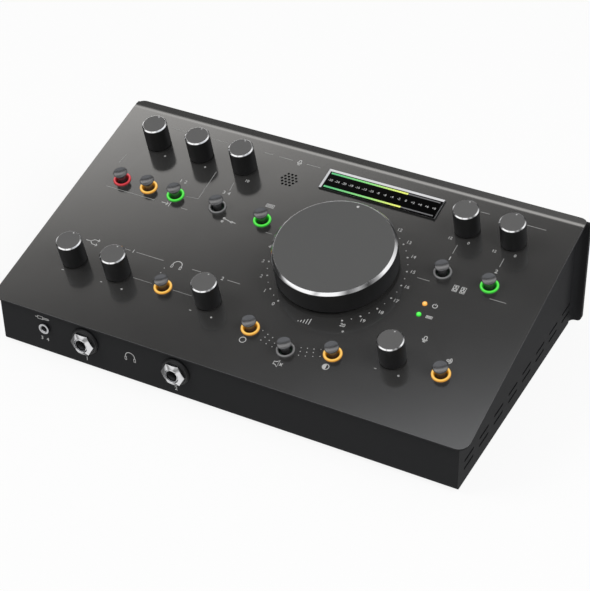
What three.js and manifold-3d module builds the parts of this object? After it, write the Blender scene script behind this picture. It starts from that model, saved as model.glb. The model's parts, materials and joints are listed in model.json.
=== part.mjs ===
// Desktop studio monitor controller: a sloped steel cover over a folded tray, with nine small pots,
// one large volume knob, twelve lit push buttons, a bar meter, front phones jacks and rear sockets.
// Millimetres, +Z up. The user faces +Y, the origin is under the middle of the rubber feet.
import * as THREE from 'three';
import { mergeVertices } from 'three/addons/utils/BufferGeometryUtils.js';
import Module from 'manifold-3d';

const library = await Module();
library.setup();

// Cover plate
const plateWidth = 320;
const plateDepth = 179.9;
const plateSlope = THREE.MathUtils.degToRad(14);
const frontHeight = 33.2;
const lipLength = 7.4;
const lipBendRadius = 16;
const coverSheet = 1.5;
const plateCornerRadius = 7;
const lipCornerRadius = 5;

// Tray
const traySheet = 1.5;
const trayFrontInset = 2.6;
const traySideInset = 4.9;
const trayFoldRadius = 2;
const flareRadius = 3.5;
const rearOverhang = 2;
const rearClearance = 1.2;
const rearCornerRadius = 3;
const seatGap = 0.3;

// Side vents: two rows of slots low on each wall
const ventColumns = 8;
const ventPitch = 21.5;
const ventFirst = 17.5;
const ventLength = 14;
const ventHeight = 1.9;
const ventLowRow = 9.9;
const ventRowPitch = 5.8;

// Rear panel
const panelSheet = 1.5;

// Feet
const footRadius = 9;
const footHeight = 2.5;
const footBevel = 0.8;
const footInset = 16;
const glueGap = 0.1;

// Small knobs and their pots
const knobRadius = 8.1;
const knobTopRadius = 8;
const knobFoot = 1;
const knobTop = 18.2;
const knobChamfer = 0.8;
const dotRadius = 0.55;
const dotDepth = 0.4;
const dotInset = 1.7;
const shaftRadius = 3;
const shaftClearance = 0.15;
const shaftReach = 6;
const shaftEndRoom = 0.6;
const potWidth = 11;
const potHeight = 8.5;
const potHoleClearance = 0.6;

// Volume knob
const volumeRadius = 38.5;
const volumeFoot = 2.2;
const volumeTop = 19;
const volumeChamfer = 0.9;
const volumeCapHeight = 1.4;
const volumeSpigotRadius = 33;
const volumeSpigotDepth = 1.6;
const volumeDotRadius = 1;
const volumeDotInset = 5.2;
const volumePotWidth = 17;
const volumeShaftTop = 12;

// Push buttons, their light rings and switches
const buttonHeadRadius = 4.1;
const buttonTop = 7.1;
const buttonHeadHeight = 2.6;
const buttonBevel = 0.6;
const buttonNeckRadius = 2.4;
const buttonNeckFoot = -1;
const buttonStemRadius = 1.6;
const buttonStemFoot = -6.2;
const buttonDish = 0.3;
const ringRadius = 5.2;
const ringBore = 3.9;
const ringRise = 1;
const ringLip = 0.7;
const ringBarrelRadius = 4.7;
const ringBevel = 0.4;
const ringHoleClearance = 0.3;
const switchWidth = 8.4;
const switchHeight = 7;
const switchBore = 1.9;
const switchBoreDepth = 5;

// Control board
const boardSheet = 1.6;
const boardSideMargin = 15;

// Meter
const meterWidth = 80.5;
const meterHeight = 17;
const meterFrame = 1.2;
const meterFrameRise = 0.9;
const meterLensSheet = 2;
const meterLensClearance = 0.2;
const meterLensSink = 0.4;
const meterBlockMargin = 1.5;

// Talkback microphone and indicator lights
const grilleRings = 2;
const grillePitch = 2.6;
const grilleHoleRadius = 0.85;
const micRadius = 6.2;
const lightRadius = 1.5;
const lightRise = 0.9;
const lightDome = 0.5;
const lightClearance = 0.15;

// Front jacks
const jackHeight = 19.5;
const jackBushRadius = 4.6;
const jackBore = 3.3;
const jackBoreDepth = 30;
const jackBodyWidth = 15;
const jackBodyHeight = 13;
const jackBodyDepth = 28;
const jackHoleClearance = 0.3;
const jackBushProud = 0.4;
const collarRadius = 10.4;
const collarTopRadius = 9;
const collarHeight = 2.4;
const nutAcrossFlats = 14.4;
const nutHeight = 3.4;
const smallJackBore = 1.8;
const smallJackBush = 3;
const smallJackRing = 3.6;
const smallJackRingHeight = 1.5;
const smallJackBodyWidth = 9;
const smallJackBodyHeight = 9;
const smallJackBodyDepth = 12;
const smallJackBackWall = 1.5;

// Rear sockets
const socketHeight = 36;
const socketBodyWidth = 14;
const socketBodyDepth = 26;
const socketBushProud = 4.4;
const socketBoardSheet = 1.6;
const socketBoardFoot = 16;
const socketBoardClearance = 3;
const comboRadius = 11.8;
const comboClearance = 0.4;
const comboFlangeWidth = 26;
const comboFlangeHeight = 31;
const comboFlangeSheet = 2;
const comboFlangeCorner = 3;
const comboRecessRadius = 9.7;
const comboCoreRadius = 7.8;
const comboRecessDepth = 13;
const comboBackWall = 1.5;
const usbWidth = 12;
const usbHeight = 11;
const usbMouthWidth = 8.5;
const usbMouthHeight = 7.8;
const usbTongueWidth = 5.6;
const usbTongueHeight = 3.2;
const usbDepth = 9;
const inletWidth = 9;
const inletHeight = 11;
const inletRadius = 3.2;
const inletPinRadius = 1;
const inletDepth = 9;
const cutoutClearance = 0.4;

// Power switch
const rockerWidth = 11;
const rockerHalfHeight = 8.6;
const rockerTip = 4.2;
const rockerValley = 2.6;
const rockerBack = 3;
const rockerTilt = THREE.MathUtils.degToRad(8);
const rockerGap = 0.5;
const rockerEndGap = 1;
const rockerPinRadius = 1;
const rockerPinReach = 1.2;
const rockerPinClearance = 0.15;
const switchFrame = 1.6;
const switchFrameProud = 1.2;

// Places on the plate as shares of its half width, from the middle, and of its depth, from the front
const columnShares = [-0.785, -0.584, -0.3825, -0.181];
const middleShare = 0.203;
const middleSpreadShare = 0.172;
const rightColumnShares = [0.591, 0.781];
const inputShares = [-0.827, -0.7015, -0.576];
const topRowShare = 0.85;
const buttonRowShare = 0.643;
const lowerRowShare = 0.25;
const volumeRowShare = 0.5425;
const monoRowShare = 0.198;
const muteRowShare = 0.157;
const meterRowShare = 0.896;
const lightRowShares = [0.498, 0.45];
const boardEndShares = [0.13, 0.955];
// Places along the front and rear as shares of the half width
const phonesShares = [columnShares[1], columnShares[3]];
const smallJackShare = -0.769;
const comboShares = [-0.73, -0.52];
const socketShares = [-0.33, -0.205, -0.04, 0.085, 0.21, 0.335];
const usbShare = 0.49;
const inletShare = 0.62;
const rockerShare = 0.79;
const socketBoardEndShares = [-0.85, 0.86];

// Facets
const roundSides = 12;
const smallSides = 8;
const dotSides = 6;
const hexagonSides = 6;
const knobSides = 20;
const collarSides = 20;
const volumeSides = 44;
const cornerSteps = 4;
const bendSteps = 4;
const domeSteps = 2;
const overrun = 2;
const mergeTolerance = 1e-4;

// Shared surfaces
const halfPlate = plateWidth / 2;
const halfTray = halfPlate - traySideInset;
const halfRear = halfPlate + rearOverhang;
const bendY = plateDepth * Math.cos(plateSlope);
const topZ = frontHeight + plateDepth * Math.sin(plateSlope);
const rearY = bendY + lipLength;
const panelY = rearY - panelSheet;
const flangeBackY = panelY - seatGap;
const flangeFrontY = flangeBackY - traySheet;
const coverUnder = -coverSheet;
const boardTop = coverUnder - seatGap - potHeight;
const boardUnder = boardTop - boardSheet;
const shaftFoot = coverUnder - shaftReach;
const collarBackY = trayFrontInset - seatGap;
const nutBackY = collarBackY - collarHeight - seatGap;
const bushFrontY = nutBackY - nutHeight - jackBushProud;
const bushRearY = rearY + socketBushProud;
const middleY = (bushFrontY + bushRearY) / 2;
const meterLensFoot = meterFrameRise - meterLensSink - meterLensSheet;
const socketBodyFront = panelY - seatGap;
const socketBoardFront = socketBodyFront - socketBodyDepth;
const rockerPivotY = rearY + switchFrameProud - rockerValley;

function paint(color, roughness, metalness) {
  return new THREE.MeshStandardMaterial({ color, roughness, metalness });
}

const coverPaint = paint(0x46474a, 0.42, 0.55);
const trayPaint = paint(0x33353a, 0.5, 0.4);
const panelPaint = paint(0x2b2c2f, 0.55, 0.3);
const blackPlastic = paint(0x1b1b1c, 0.45, 0.0);
const satinDisc = paint(0x5d5d5e, 0.35, 0.8);
const chrome = paint(0xd9dadb, 0.12, 1.0);
const silver = paint(0xb9babc, 0.25, 1.0);
const rubber = paint(0x151515, 0.9, 0.0);
const boardGreen = paint(0x1d4a33, 0.6, 0.0);
const buttonPlastic = paint(0x3a3b3d, 0.2, 0.1);
const smokedLens = paint(0x070808, 0.08, 0.0);
const steel = paint(0x9a9b9c, 0.3, 1.0);
const lamp = (color) => new THREE.MeshStandardMaterial({ color, roughness: 0.3, emissive: color });
const lampColors = { red: 0xff2a22, amber: 0xffa01e, green: 0x22d640, grey: 0x6f7072 };

// A closed three.js geometry as a solid, without the empty triangles at a lathe's poles
function solid(geometry) {
  const bare = geometry.clone();
  bare.deleteAttribute('normal');
  bare.deleteAttribute('uv');
  const merged = mergeVertices(bare, mergeTolerance);
  const index = merged.index.array;
  const triangles = [];
  for (let i = 0; i < index.length; i += 3) {
    const [a, b, c] = [index[i], index[i + 1], index[i + 2]];
    if (a !== b && b !== c && c !== a) triangles.push(a, b, c);
  }
  const vertProperties = merged.attributes.position.array;
  const triVerts = new Uint32Array(triangles);
  return new library.Manifold(new library.Mesh({ numProp: 3, vertProperties, triVerts }));
}

function geometryOf(body) {
  const mesh = body.getMesh();
  const geometry = new THREE.BufferGeometry();
  geometry.setAttribute('position', new THREE.BufferAttribute(new Float32Array(mesh.vertProperties), 3));
  geometry.setIndex(new THREE.BufferAttribute(new Uint32Array(mesh.triVerts), 1));
  geometry.computeVertexNormals();
  return geometry;
}

const joined = (...bodies) => bodies.reduce((sum, body) => sum.add(body));
const cut = (body, ...tools) => tools.reduce((rest, tool) => rest.subtract(tool), body);

// A box between two opposite corners
function block(low, high) {
  const size = high.map((value, i) => value - low[i]);
  const box = new THREE.BoxGeometry(...size);
  box.translate(...low.map((value, i) => value + size[i] / 2));
  return solid(box);
}

function outline(points) {
  return new THREE.Shape(points.map(([x, y]) => new THREE.Vector2(x, y)));
}

// Points of an arc round a centre
function arc([x, y], radius, start, end, steps) {
  return Array.from({ length: steps + 1 }, (_, i) => {
    const angle = start + ((end - start) * i) / steps;
    return [x + radius * Math.cos(angle), y + radius * Math.sin(angle)];
  });
}

// A rectangle whose corners have the radii [low left, low right, high right, high left]
function roundedRectangle([left, low], [right, high], radii) {
  const corners = [[left, low, 1, 1], [right, low, -1, 1], [right, high, -1, -1], [left, high, 1, -1]];
  return outline(corners.flatMap(([x, y, inX, inY], i) => {
    const start = Math.PI + (i * Math.PI) / 2;
    const centre = [x + inX * radii[i], y + inY * radii[i]];
    return radii[i] > 0 ? arc(centre, radii[i], start, start + Math.PI / 2, cornerSteps) : [[x, y]];
  }));
}

// Shapes raised along Z, along X from a profile in Y and Z, or along Y from an outline in X and Z
function raise(shape, low, high) {
  const geometry = new THREE.ExtrudeGeometry(shape, { depth: high - low, bevelEnabled: false });
  return solid(geometry.translate(0, 0, low));
}

function alongX(shape, low, high) {
  const geometry = new THREE.ExtrudeGeometry(shape, { depth: high - low, bevelEnabled: false });
  const axes = new THREE.Matrix4().makeBasis(...['Y', 'Z', 'X'].map(axis));
  return solid(geometry.applyMatrix4(axes).translate(low, 0, 0));
}

function alongY(shape, low, high) {
  const geometry = new THREE.ExtrudeGeometry(shape, { depth: high - low, bevelEnabled: false });
  const axes = new THREE.Matrix4().makeBasis(axis('X'), axis('Z'), axis('Y').negate());
  return solid(geometry.applyMatrix4(axes).translate(0, high, 0));
}

function axis(name) {
  return new THREE.Vector3(Number(name === 'X'), Number(name === 'Y'), Number(name === 'Z'));
}

// A turned body about Z from a profile of [radius, height] points, drawn up its outside
function turned(points, sides = roundSides) {
  const lathe = new THREE.LatheGeometry(points.map(([r, z]) => new THREE.Vector2(r, z)), sides);
  return lathe.rotateX(Math.PI / 2);
}

function rod(radius, low, high, sides = roundSides) {
  return solid(turned([[0, low], [radius, low], [radius, high], [0, high]], sides));
}

// A faceted hole that clears a round body of this radius
function bore(radius, low, high, sides = smallSides) {
  return rod(radius / Math.cos(Math.PI / sides), low, high, sides);
}

// A rod along Y, from low to high
function rodAlongY(radius, low, high, sides = roundSides) {
  const lathe = turned([[0, low], [radius, low], [radius, high], [0, high]], sides);
  return solid(lathe.rotateX(-Math.PI / 2));
}

const unit = new THREE.Group();
unit.name = 'monitor_controller';
const chassis = new THREE.Group();
chassis.position.set(0, -middleY, footHeight + glueGap);
unit.add(chassis);
// The deck's own frame: X across, Y up the slope from the plate's front edge, Z square out of the plate
const deck = new THREE.Group();
deck.position.set(0, 0, frontHeight);
deck.rotation.x = plateSlope;
chassis.add(deck);

function place(name, geometry, material, parent, x = 0, y = 0, z = 0) {
  const mesh = new THREE.Mesh(geometry, material);
  mesh.name = name;
  mesh.position.set(x, y, z);
  parent.add(mesh);
  return mesh;
}

const acrossPlate = (share) => share * halfPlate;
const upPlate = (share) => share * plateDepth;
const alongRear = (share) => share * halfRear;

// A body drawn about the Y axis, moved to its place in the rear's line of sockets
function atRear(body, share) {
  return body.translate(alongRear(share), 0, socketHeight);
}

// Where everything sits on the plate
const knobs = [
  ['gain_knob_1', columnShares[0], topRowShare],
  ['gain_knob_2', columnShares[1], topRowShare],
  ['track_trim_knob', columnShares[2], topRowShare],
  ['direct_mix_knob', columnShares[0], lowerRowShare],
  ['phones_knob_1', columnShares[1], lowerRowShare],
  ['phones_knob_2', columnShares[3], lowerRowShare],
  ['talkback_knob', rightColumnShares[0], lowerRowShare],
  ['trim_knob_a', rightColumnShares[0], topRowShare],
  ['trim_knob_b', rightColumnShares[1], topRowShare],
];
const buttons = [
  ['phantom', inputShares[0], buttonRowShare, 'red'],
  ['line', inputShares[1], buttonRowShare, 'amber'],
  ['input', inputShares[2], buttonRowShare, 'green'],
  ['track', columnShares[2], buttonRowShare, 'grey'],
  ['computer', columnShares[3], buttonRowShare, 'green'],
  ['phones', columnShares[2], lowerRowShare, 'amber'],
  ['mono', middleShare - middleSpreadShare, monoRowShare, 'amber'],
  ['mute', middleShare, muteRowShare, 'grey'],
  ['dim', middleShare + middleSpreadShare, monoRowShare, 'amber'],
  ['cue', rightColumnShares[1], lowerRowShare, 'amber'],
  ['speaker_a', rightColumnShares[0], buttonRowShare, 'grey'],
  ['speaker_b', rightColumnShares[1], buttonRowShare, 'green'],
];
const lights = [['power_light', lightRowShares[0], 'amber'], ['usb_light', lightRowShares[1], 'green']];
const volumeX = acrossPlate(middleShare);
const volumeY = upPlate(volumeRowShare);
const meterX = volumeX;
const meterY = upPlate(meterRowShare);
const lightX = acrossPlate(rightColumnShares[0]);
const micX = acrossPlate(columnShares[3]);
const micY = upPlate(topRowShare);

// The plate's side view at a depth below its top face: up the slope, round the bend and along the lip
function plateLine(depth, startY) {
  const radius = lipBendRadius - depth;
  const centre = [bendY + lipBendRadius * Math.tan(plateSlope / 2), topZ - lipBendRadius];
  const startZ = frontHeight + startY * Math.tan(plateSlope) - depth / Math.cos(plateSlope);
  const bend = arc(centre, radius, Math.PI / 2 + plateSlope, Math.PI / 2, bendSteps);
  return [[startY, startZ], ...bend, [rearY + overrun, topZ - depth]];
}

// Everything under the plate at a depth below its top face
function underPlate(depth) {
  const floor = [[rearY + overrun, -overrun], [-overrun, -overrun]];
  const profile = outline([...plateLine(depth, -overrun), ...floor].reverse());
  return alongX(profile, -halfRear - overrun, halfRear + overrun);
}

// A body drawn in the deck's frame, in the chassis frame
function deckSpace(body) {
  return body.rotate([THREE.MathUtils.radToDeg(plateSlope), 0, 0]).translate(0, 0, frontHeight);
}

// A hole square through the plate, in the deck's frame
function plateHole(radius, x, y, sides) {
  return bore(radius, coverUnder - overrun, overrun, sides).translate(x, y, 0);
}

function grilleHoles() {
  const holes = [];
  for (let row = -grilleRings; row <= grilleRings; row += 1) {
    const count = 2 * grilleRings + 1 - Math.abs(row);
    for (let i = 0; i < count; i += 1) {
      const x = micX + (i - (count - 1) / 2) * grillePitch;
      const y = micY + row * grillePitch * Math.sin(Math.PI / 3);
      holes.push(plateHole(grilleHoleRadius, x, y, dotSides));
    }
  }
  return holes;
}

function topCover() {
  const corners = [plateCornerRadius, plateCornerRadius, lipCornerRadius, lipCornerRadius];
  const plan = roundedRectangle([-halfPlate, 0], [halfPlate, rearY], corners);
  const cover = underPlate(0).subtract(underPlate(coverSheet)).intersect(raise(plan, 0, topZ + overrun));
  const potHole = shaftRadius + potHoleClearance;
  const ringHole = ringBarrelRadius + ringHoleClearance;
  const lightHole = lightRadius + lightClearance;
  const holes = [
    ...knobs.map(([, x, y]) => plateHole(potHole, acrossPlate(x), upPlate(y), roundSides)),
    plateHole(potHole, volumeX, volumeY, roundSides),
    ...buttons.map(([, x, y]) => plateHole(ringHole, acrossPlate(x), upPlate(y), roundSides)),
    ...lights.map(([, y]) => plateHole(lightHole, lightX, upPlate(y), smallSides)),
    ...grilleHoles(),
    meterOpening(0, coverUnder - overrun, overrun),
  ];
  return cut(cover, ...holes.map(deckSpace));
}

// The meter's rectangle in the deck's frame, drawn in by an inset
function meterOpening(inset, low, high) {
  const x = meterWidth / 2 - meterFrame - inset;
  const y = meterHeight / 2 - meterFrame - inset;
  return block([meterX - x, meterY - y, low], [meterX + x, meterY + y, high]);
}

// The folded tray's outside, or its hollow where an inset is given, up to a depth under the plate
function trayShell(inset, topInset) {
  const front = trayFrontInset + inset;
  const rear = flangeFrontY - flareRadius;
  const fold = Math.max(trayFoldRadius - inset, trayFoldRadius / 4);
  const corner = arc([front + fold, inset + fold], fold, Math.PI, 1.5 * Math.PI, cornerSteps);
  const profile = outline([...corner, [rear, inset], [rear, topZ], [front, topZ]]);
  return alongX(profile, -halfTray + inset, halfTray - inset).intersect(underPlate(topInset));
}

// Where each side wall flares out into the flange that the rear panel is screwed to
function flare() {
  const centre = [halfTray + flareRadius, flangeFrontY - flareRadius];
  const outer = arc(centre, flareRadius, Math.PI, Math.PI / 2, cornerSteps);
  const inner = arc(centre, flareRadius + traySheet, Math.PI / 2, Math.PI, cornerSteps);
  const tail = [[halfRear, flangeFrontY], [halfRear, flangeBackY]];
  const startY = centre[1] - traySheet;
  const start = [halfTray, startY];
  const end = [halfTray - traySheet, startY];
  const plan = outline([start, ...outer, ...tail, ...inner, end].reverse());
  return raise(plan, rearClearance, topZ);
}

// The rear's outline: round lower corners, with its top left to the plate
function rearOutline() {
  const radii = [rearCornerRadius, rearCornerRadius, 0, 0];
  return roundedRectangle([-halfRear, rearClearance], [halfRear, topZ + overrun], radii);
}

function baseTray() {
  const cover = coverSheet + seatGap;
  const innerX = halfTray - traySheet;
  const endY = flangeFrontY - flareRadius - traySheet;
  const hollow = trayShell(traySheet, 0).add(block([-innerX, endY, traySheet], [innerX, rearY, topZ]));
  const floorEnd = block([-innerX, endY, 0], [innerX, flangeBackY, traySheet]);
  const flangeSpace = alongY(rearOutline(), 0, rearY).intersect(underPlate(cover));
  const flanges = [flare(), flare().mirror([1, 0, 0])].map((body) => body.intersect(flangeSpace));
  const tray = joined(cut(trayShell(0, cover), hollow), floorEnd, ...flanges);
  const slots = [];
  for (let column = 0; column < ventColumns; column += 1) {
    for (const row of [0, 1]) {
      slots.push(ventSlot(ventFirst + column * ventPitch, ventLowRow + row * ventRowPitch));
    }
  }
  const wallFront = trayFrontInset - overrun;
  const wallBack = trayFrontInset + traySheet + overrun;
  const frontHole = (bush, share) => rodAlongY(bush + jackHoleClearance, wallFront, wallBack)
    .translate(acrossPlate(share), 0, jackHeight);
  const jackHoles = phonesShares.map((share) => frontHole(jackBushRadius, share));
  return cut(tray, ...slots, ...jackHoles, frontHole(smallJackBush, smallJackShare));
}

// A slot with round ends through both side walls
function ventSlot(y, z) {
  const radius = ventHeight / 2;
  const reach = ventLength / 2 - radius;
  const ends = [...arc([y + reach, z], radius, -Math.PI / 2, Math.PI / 2, 2),
    ...arc([y - reach, z], radius, Math.PI / 2, 1.5 * Math.PI, 2)];
  return alongX(outline(ends), -halfRear, halfRear);
}

function rearPanel() {
  const sheet = alongY(rearOutline(), panelY, rearY).intersect(underPlate(coverSheet + seatGap));
  const [low, high] = [panelY - overrun, rearY + overrun];
  const squareCut = (width, height, share) => {
    const x = alongRear(share);
    const halfX = width / 2 + cutoutClearance;
    const halfZ = height / 2 + cutoutClearance;
    return block([x - halfX, low, socketHeight - halfZ], [x + halfX, high, socketHeight + halfZ]);
  };
  const roundCut = (radius, share) => atRear(rodAlongY(radius, low, high), share);
  const [frameX, frameZ] = rockerFrame();
  return cut(
    sheet,
    ...comboShares.map((share) => roundCut(comboRadius + comboClearance, share)),
    ...socketShares.map((share) => roundCut(jackBushRadius + jackHoleClearance, share)),
    squareCut(usbWidth, usbHeight, usbShare),
    squareCut(inletWidth, inletHeight, inletShare),
    squareCut(2 * frameX, 2 * frameZ, rockerShare),
  );
}

function talkbackMic() {
  const [foot, top] = [boardTop + seatGap, coverUnder - seatGap];
  return turned([[0, foot], [micRadius, foot], [micRadius, top], [0, top]]);
}

// The board hangs under the plate on its pots, with a switch body under each button
function controlBoard() {
  const halfWidth = halfPlate - boardSideMargin;
  const [front, rear] = boardEndShares.map(upPlate);
  const root = boardTop - boardSheet / 2;
  const sheet = block([-halfWidth, front, boardUnder], [halfWidth, rear, boardTop]);
  const standing = (x, y, width, height) => block(
    [x - width / 2, y - width / 2, root],
    [x + width / 2, y + width / 2, boardTop + height],
  );
  const pot = (x, y, width) => standing(x, y, width, potHeight)
    .subtract(bore(shaftRadius + shaftClearance, shaftFoot - shaftEndRoom, 0).translate(x, y, 0));
  const wellFloor = boardTop + switchHeight - switchBoreDepth;
  const pushSwitch = (x, y) => standing(x, y, switchWidth, switchHeight)
    .subtract(bore(switchBore, wellFloor, 0).translate(x, y, 0));
  return joined(
    sheet,
    ...knobs.map(([, x, y]) => pot(acrossPlate(x), upPlate(y), potWidth)),
    pot(volumeX, volumeY, volumePotWidth),
    ...buttons.map(([, x, y]) => pushSwitch(acrossPlate(x), upPlate(y))),
    meterOpening(meterBlockMargin, root, meterLensFoot - seatGap),
  );
}

function meterBezel() {
  const [x, y] = [meterWidth / 2, meterHeight / 2];
  const low = [meterX - x, meterY - y, seatGap];
  const high = [meterX + x, meterY + y, meterFrameRise + seatGap];
  return block(low, high).subtract(meterOpening(0, -overrun, meterFrameRise + overrun));
}

// A small knob with its shaft: a slightly tapered body, a bright chamfer and an index dot
function smallKnob() {
  const body = solid(turned([
    [0, shaftFoot], [shaftRadius, shaftFoot], [shaftRadius, knobFoot], [knobRadius, knobFoot],
    [knobTopRadius, knobTop - knobChamfer], [knobTopRadius - knobChamfer, knobTop], [0, knobTop],
  ], knobSides));
  const dot = rod(dotRadius, knobTop - dotDepth, knobTop + overrun, dotSides);
  return body.subtract(dot.translate(0, knobTopRadius - knobChamfer - dotInset, 0));
}

function volumeKnob() {
  const rim = volumeTop - volumeCapHeight - seatGap;
  const seat = rim - volumeSpigotDepth;
  const seatRadius = volumeSpigotRadius + seatGap;
  const boreRadius = shaftRadius + shaftClearance;
  const boreEnd = volumeShaftTop + shaftEndRoom;
  return turned([
    [0, boreEnd], [boreRadius, boreEnd], [boreRadius, volumeFoot], [volumeRadius, volumeFoot],
    [volumeRadius, rim], [seatRadius, rim], [seatRadius, seat], [0, seat],
  ], volumeSides);
}

function volumeCap() {
  const foot = volumeTop - volumeCapHeight;
  const seat = foot - volumeSpigotDepth;
  const body = solid(turned([
    [0, seat], [volumeSpigotRadius, seat], [volumeSpigotRadius, foot], [volumeRadius, foot],
    [volumeRadius, volumeTop - volumeChamfer], [volumeRadius - volumeChamfer, volumeTop], [0, volumeTop],
  ], volumeSides));
  const dot = rod(volumeDotRadius, volumeTop - dotDepth, volumeTop + overrun, smallSides);
  return body.subtract(dot.translate(0, volumeRadius - volumeDotInset, 0));
}

function volumeShaft() {
  const side = [[shaftRadius, shaftFoot], [shaftRadius, volumeShaftTop]];
  return turned([[0, shaftFoot], ...side, [0, volumeShaftTop]]);
}

// A button cap: a dished head on a neck, with a stem that reaches into the switch
function buttonCap() {
  const headFoot = buttonTop - buttonHeadHeight;
  const stem = [[0, buttonStemFoot], [buttonStemRadius, buttonStemFoot], [buttonStemRadius, buttonNeckFoot]];
  const neck = [[buttonNeckRadius, buttonNeckFoot], [buttonNeckRadius, headFoot - buttonBevel]];
  const head = [[buttonHeadRadius, headFoot], [buttonHeadRadius, buttonTop - buttonBevel]];
  const top = [[buttonHeadRadius - buttonBevel, buttonTop], [0, buttonTop - buttonDish]];
  return turned([...stem, ...neck, ...head, ...top]);
}

// A light ring: a lip on the plate and a barrel through it down to the switch
function lightRing() {
  const barrelFoot = boardTop + switchHeight + seatGap;
  const top = seatGap + ringRise;
  const barrel = [[ringBore, barrelFoot], [ringBarrelRadius, barrelFoot], [ringBarrelRadius, seatGap]];
  const lipTop = seatGap + ringLip - ringBevel;
  const lip = [[ringRadius, seatGap], [ringRadius, lipTop], [ringRadius - ringBevel, top]];
  return turned([...barrel, ...lip, [ringBore, top - ringBevel], [ringBore, barrelFoot]]);
}

// An indicator's domed lens, standing on the board
function indicator() {
  const foot = boardTop + seatGap;
  const dome = arc([0, 0], 1, 0, Math.PI / 2, domeSteps)
    .map(([across, up]) => [lightRadius * across, lightRise - lightDome + lightDome * up]);
  dome[domeSteps] = [0, lightRise];
  return turned([[0, foot], [lightRadius, foot], ...dome], smallSides);
}

function foot() {
  const side = [[footRadius - footBevel, 0], [footRadius, footBevel], [footRadius, footHeight]];
  return turned([[0, 0], ...side, [0, footHeight]]);
}

// A phones jack: a body behind the front wall and a threaded bush through it
function phonesJack() {
  const bodyFront = trayFrontInset + traySheet + seatGap;
  const body = block([-jackBodyWidth / 2, bodyFront, -jackBodyHeight / 2],
    [jackBodyWidth / 2, bodyFront + jackBodyDepth, jackBodyHeight / 2]);
  const bush = rodAlongY(jackBushRadius, bushFrontY, bodyFront + overrun);
  const hole = rodAlongY(jackBore, bushFrontY - overrun, bushFrontY + jackBoreDepth);
  return body.add(bush).subtract(hole);
}

function jackCollar() {
  const inner = jackBushRadius + jackHoleClearance;
  const outside = [[collarRadius, 0], [collarRadius, collarHeight / 4], [collarTopRadius, collarHeight]];
  const ring = turned([[inner, 0], ...outside, [inner, collarHeight], [inner, 0]], collarSides);
  return ring.rotateX(Math.PI / 2);
}

function jackNut() {
  const corner = nutAcrossFlats / 2 / Math.cos(Math.PI / hexagonSides);
  const nutFrontY = nutBackY - nutHeight;
  const flatOnTop = [0, THREE.MathUtils.radToDeg(Math.PI / hexagonSides), 0];
  const hexagon = rodAlongY(corner, nutFrontY, nutBackY, hexagonSides).rotate(flatOnTop);
  const hole = rodAlongY(jackBushRadius + jackHoleClearance, nutFrontY - overrun, nutBackY + overrun);
  return hexagon.subtract(hole);
}

// The small stereo jack, with a silver ring in place of a nut
function stereoJack() {
  const bodyFront = trayFrontInset + traySheet + seatGap;
  const bodyBack = bodyFront + smallJackBodyDepth;
  const ringFront = collarBackY - smallJackRingHeight;
  const body = block([-smallJackBodyWidth / 2, bodyFront, -smallJackBodyHeight / 2],
    [smallJackBodyWidth / 2, bodyBack, smallJackBodyHeight / 2]);
  const bush = rodAlongY(smallJackBush, ringFront, bodyFront + overrun);
  const ring = rodAlongY(smallJackRing, ringFront, collarBackY);
  const hole = rodAlongY(smallJackBore, ringFront - overrun, bodyBack - smallJackBackWall, smallSides);
  return joined(body, bush, ring).subtract(hole);
}

// Half the width and height of the power switch's pocket and of the frame round it
function rockerPocket() {
  return [rockerWidth / 2 + rockerGap, rockerHalfHeight + rockerEndGap];
}

function rockerFrame() {
  return rockerPocket().map((half) => half + switchFrame);
}

// The socket board stands behind the rear panel and carries the line sockets, USB, inlet and switch
function socketBoard() {
  const [left, right] = socketBoardEndShares.map(alongRear);
  const backFace = socketBoardFront - socketBoardSheet;
  const underControls = frontHeight + backFace * Math.tan(plateSlope) + boardUnder / Math.cos(plateSlope);
  const top = underControls - socketBoardClearance;
  const sheet = block([left, backFace, socketBoardFoot], [right, socketBoardFront, top]);
  return joined(sheet, ...socketShares.map(lineSocket), usbSocket(), powerInlet(), switchHousing());
}

// A body that stands on the socket board about a place along the rear, out to a face
function onSocketBoard(share, width, height, face) {
  const x = alongRear(share);
  return block([x - width / 2, socketBoardFront - socketBoardSheet / 2, socketHeight - height / 2],
    [x + width / 2, face, socketHeight + height / 2]);
}

function lineSocket(share) {
  const body = onSocketBoard(share, socketBodyWidth, socketBodyWidth, socketBodyFront);
  const bush = rodAlongY(jackBushRadius, socketBodyFront - overrun, bushRearY);
  const hole = rodAlongY(jackBore, bushRearY - jackBoreDepth, bushRearY + overrun);
  return body.add(atRear(bush, share)).subtract(atRear(hole, share));
}

function usbSocket() {
  const face = rearY + seatGap;
  const x = alongRear(usbShare);
  const across = (width, height, low, high) => block([x - width / 2, low, socketHeight - height / 2],
    [x + width / 2, high, socketHeight + height / 2]);
  const mouth = across(usbMouthWidth, usbMouthHeight, face - usbDepth, face + overrun);
  const tongue = across(usbTongueWidth, usbTongueHeight, face - usbDepth - overrun, face - panelSheet);
  return onSocketBoard(usbShare, usbWidth, usbHeight, face).subtract(mouth).add(tongue);
}

function powerInlet() {
  const face = rearY + seatGap;
  const hole = rodAlongY(inletRadius, face - inletDepth, face + overrun);
  const pin = rodAlongY(inletPinRadius, face - inletDepth - overrun, face - panelSheet, smallSides);
  const body = onSocketBoard(inletShare, inletWidth, inletHeight, face);
  return body.subtract(atRear(hole, inletShare)).add(atRear(pin, inletShare));
}

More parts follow.
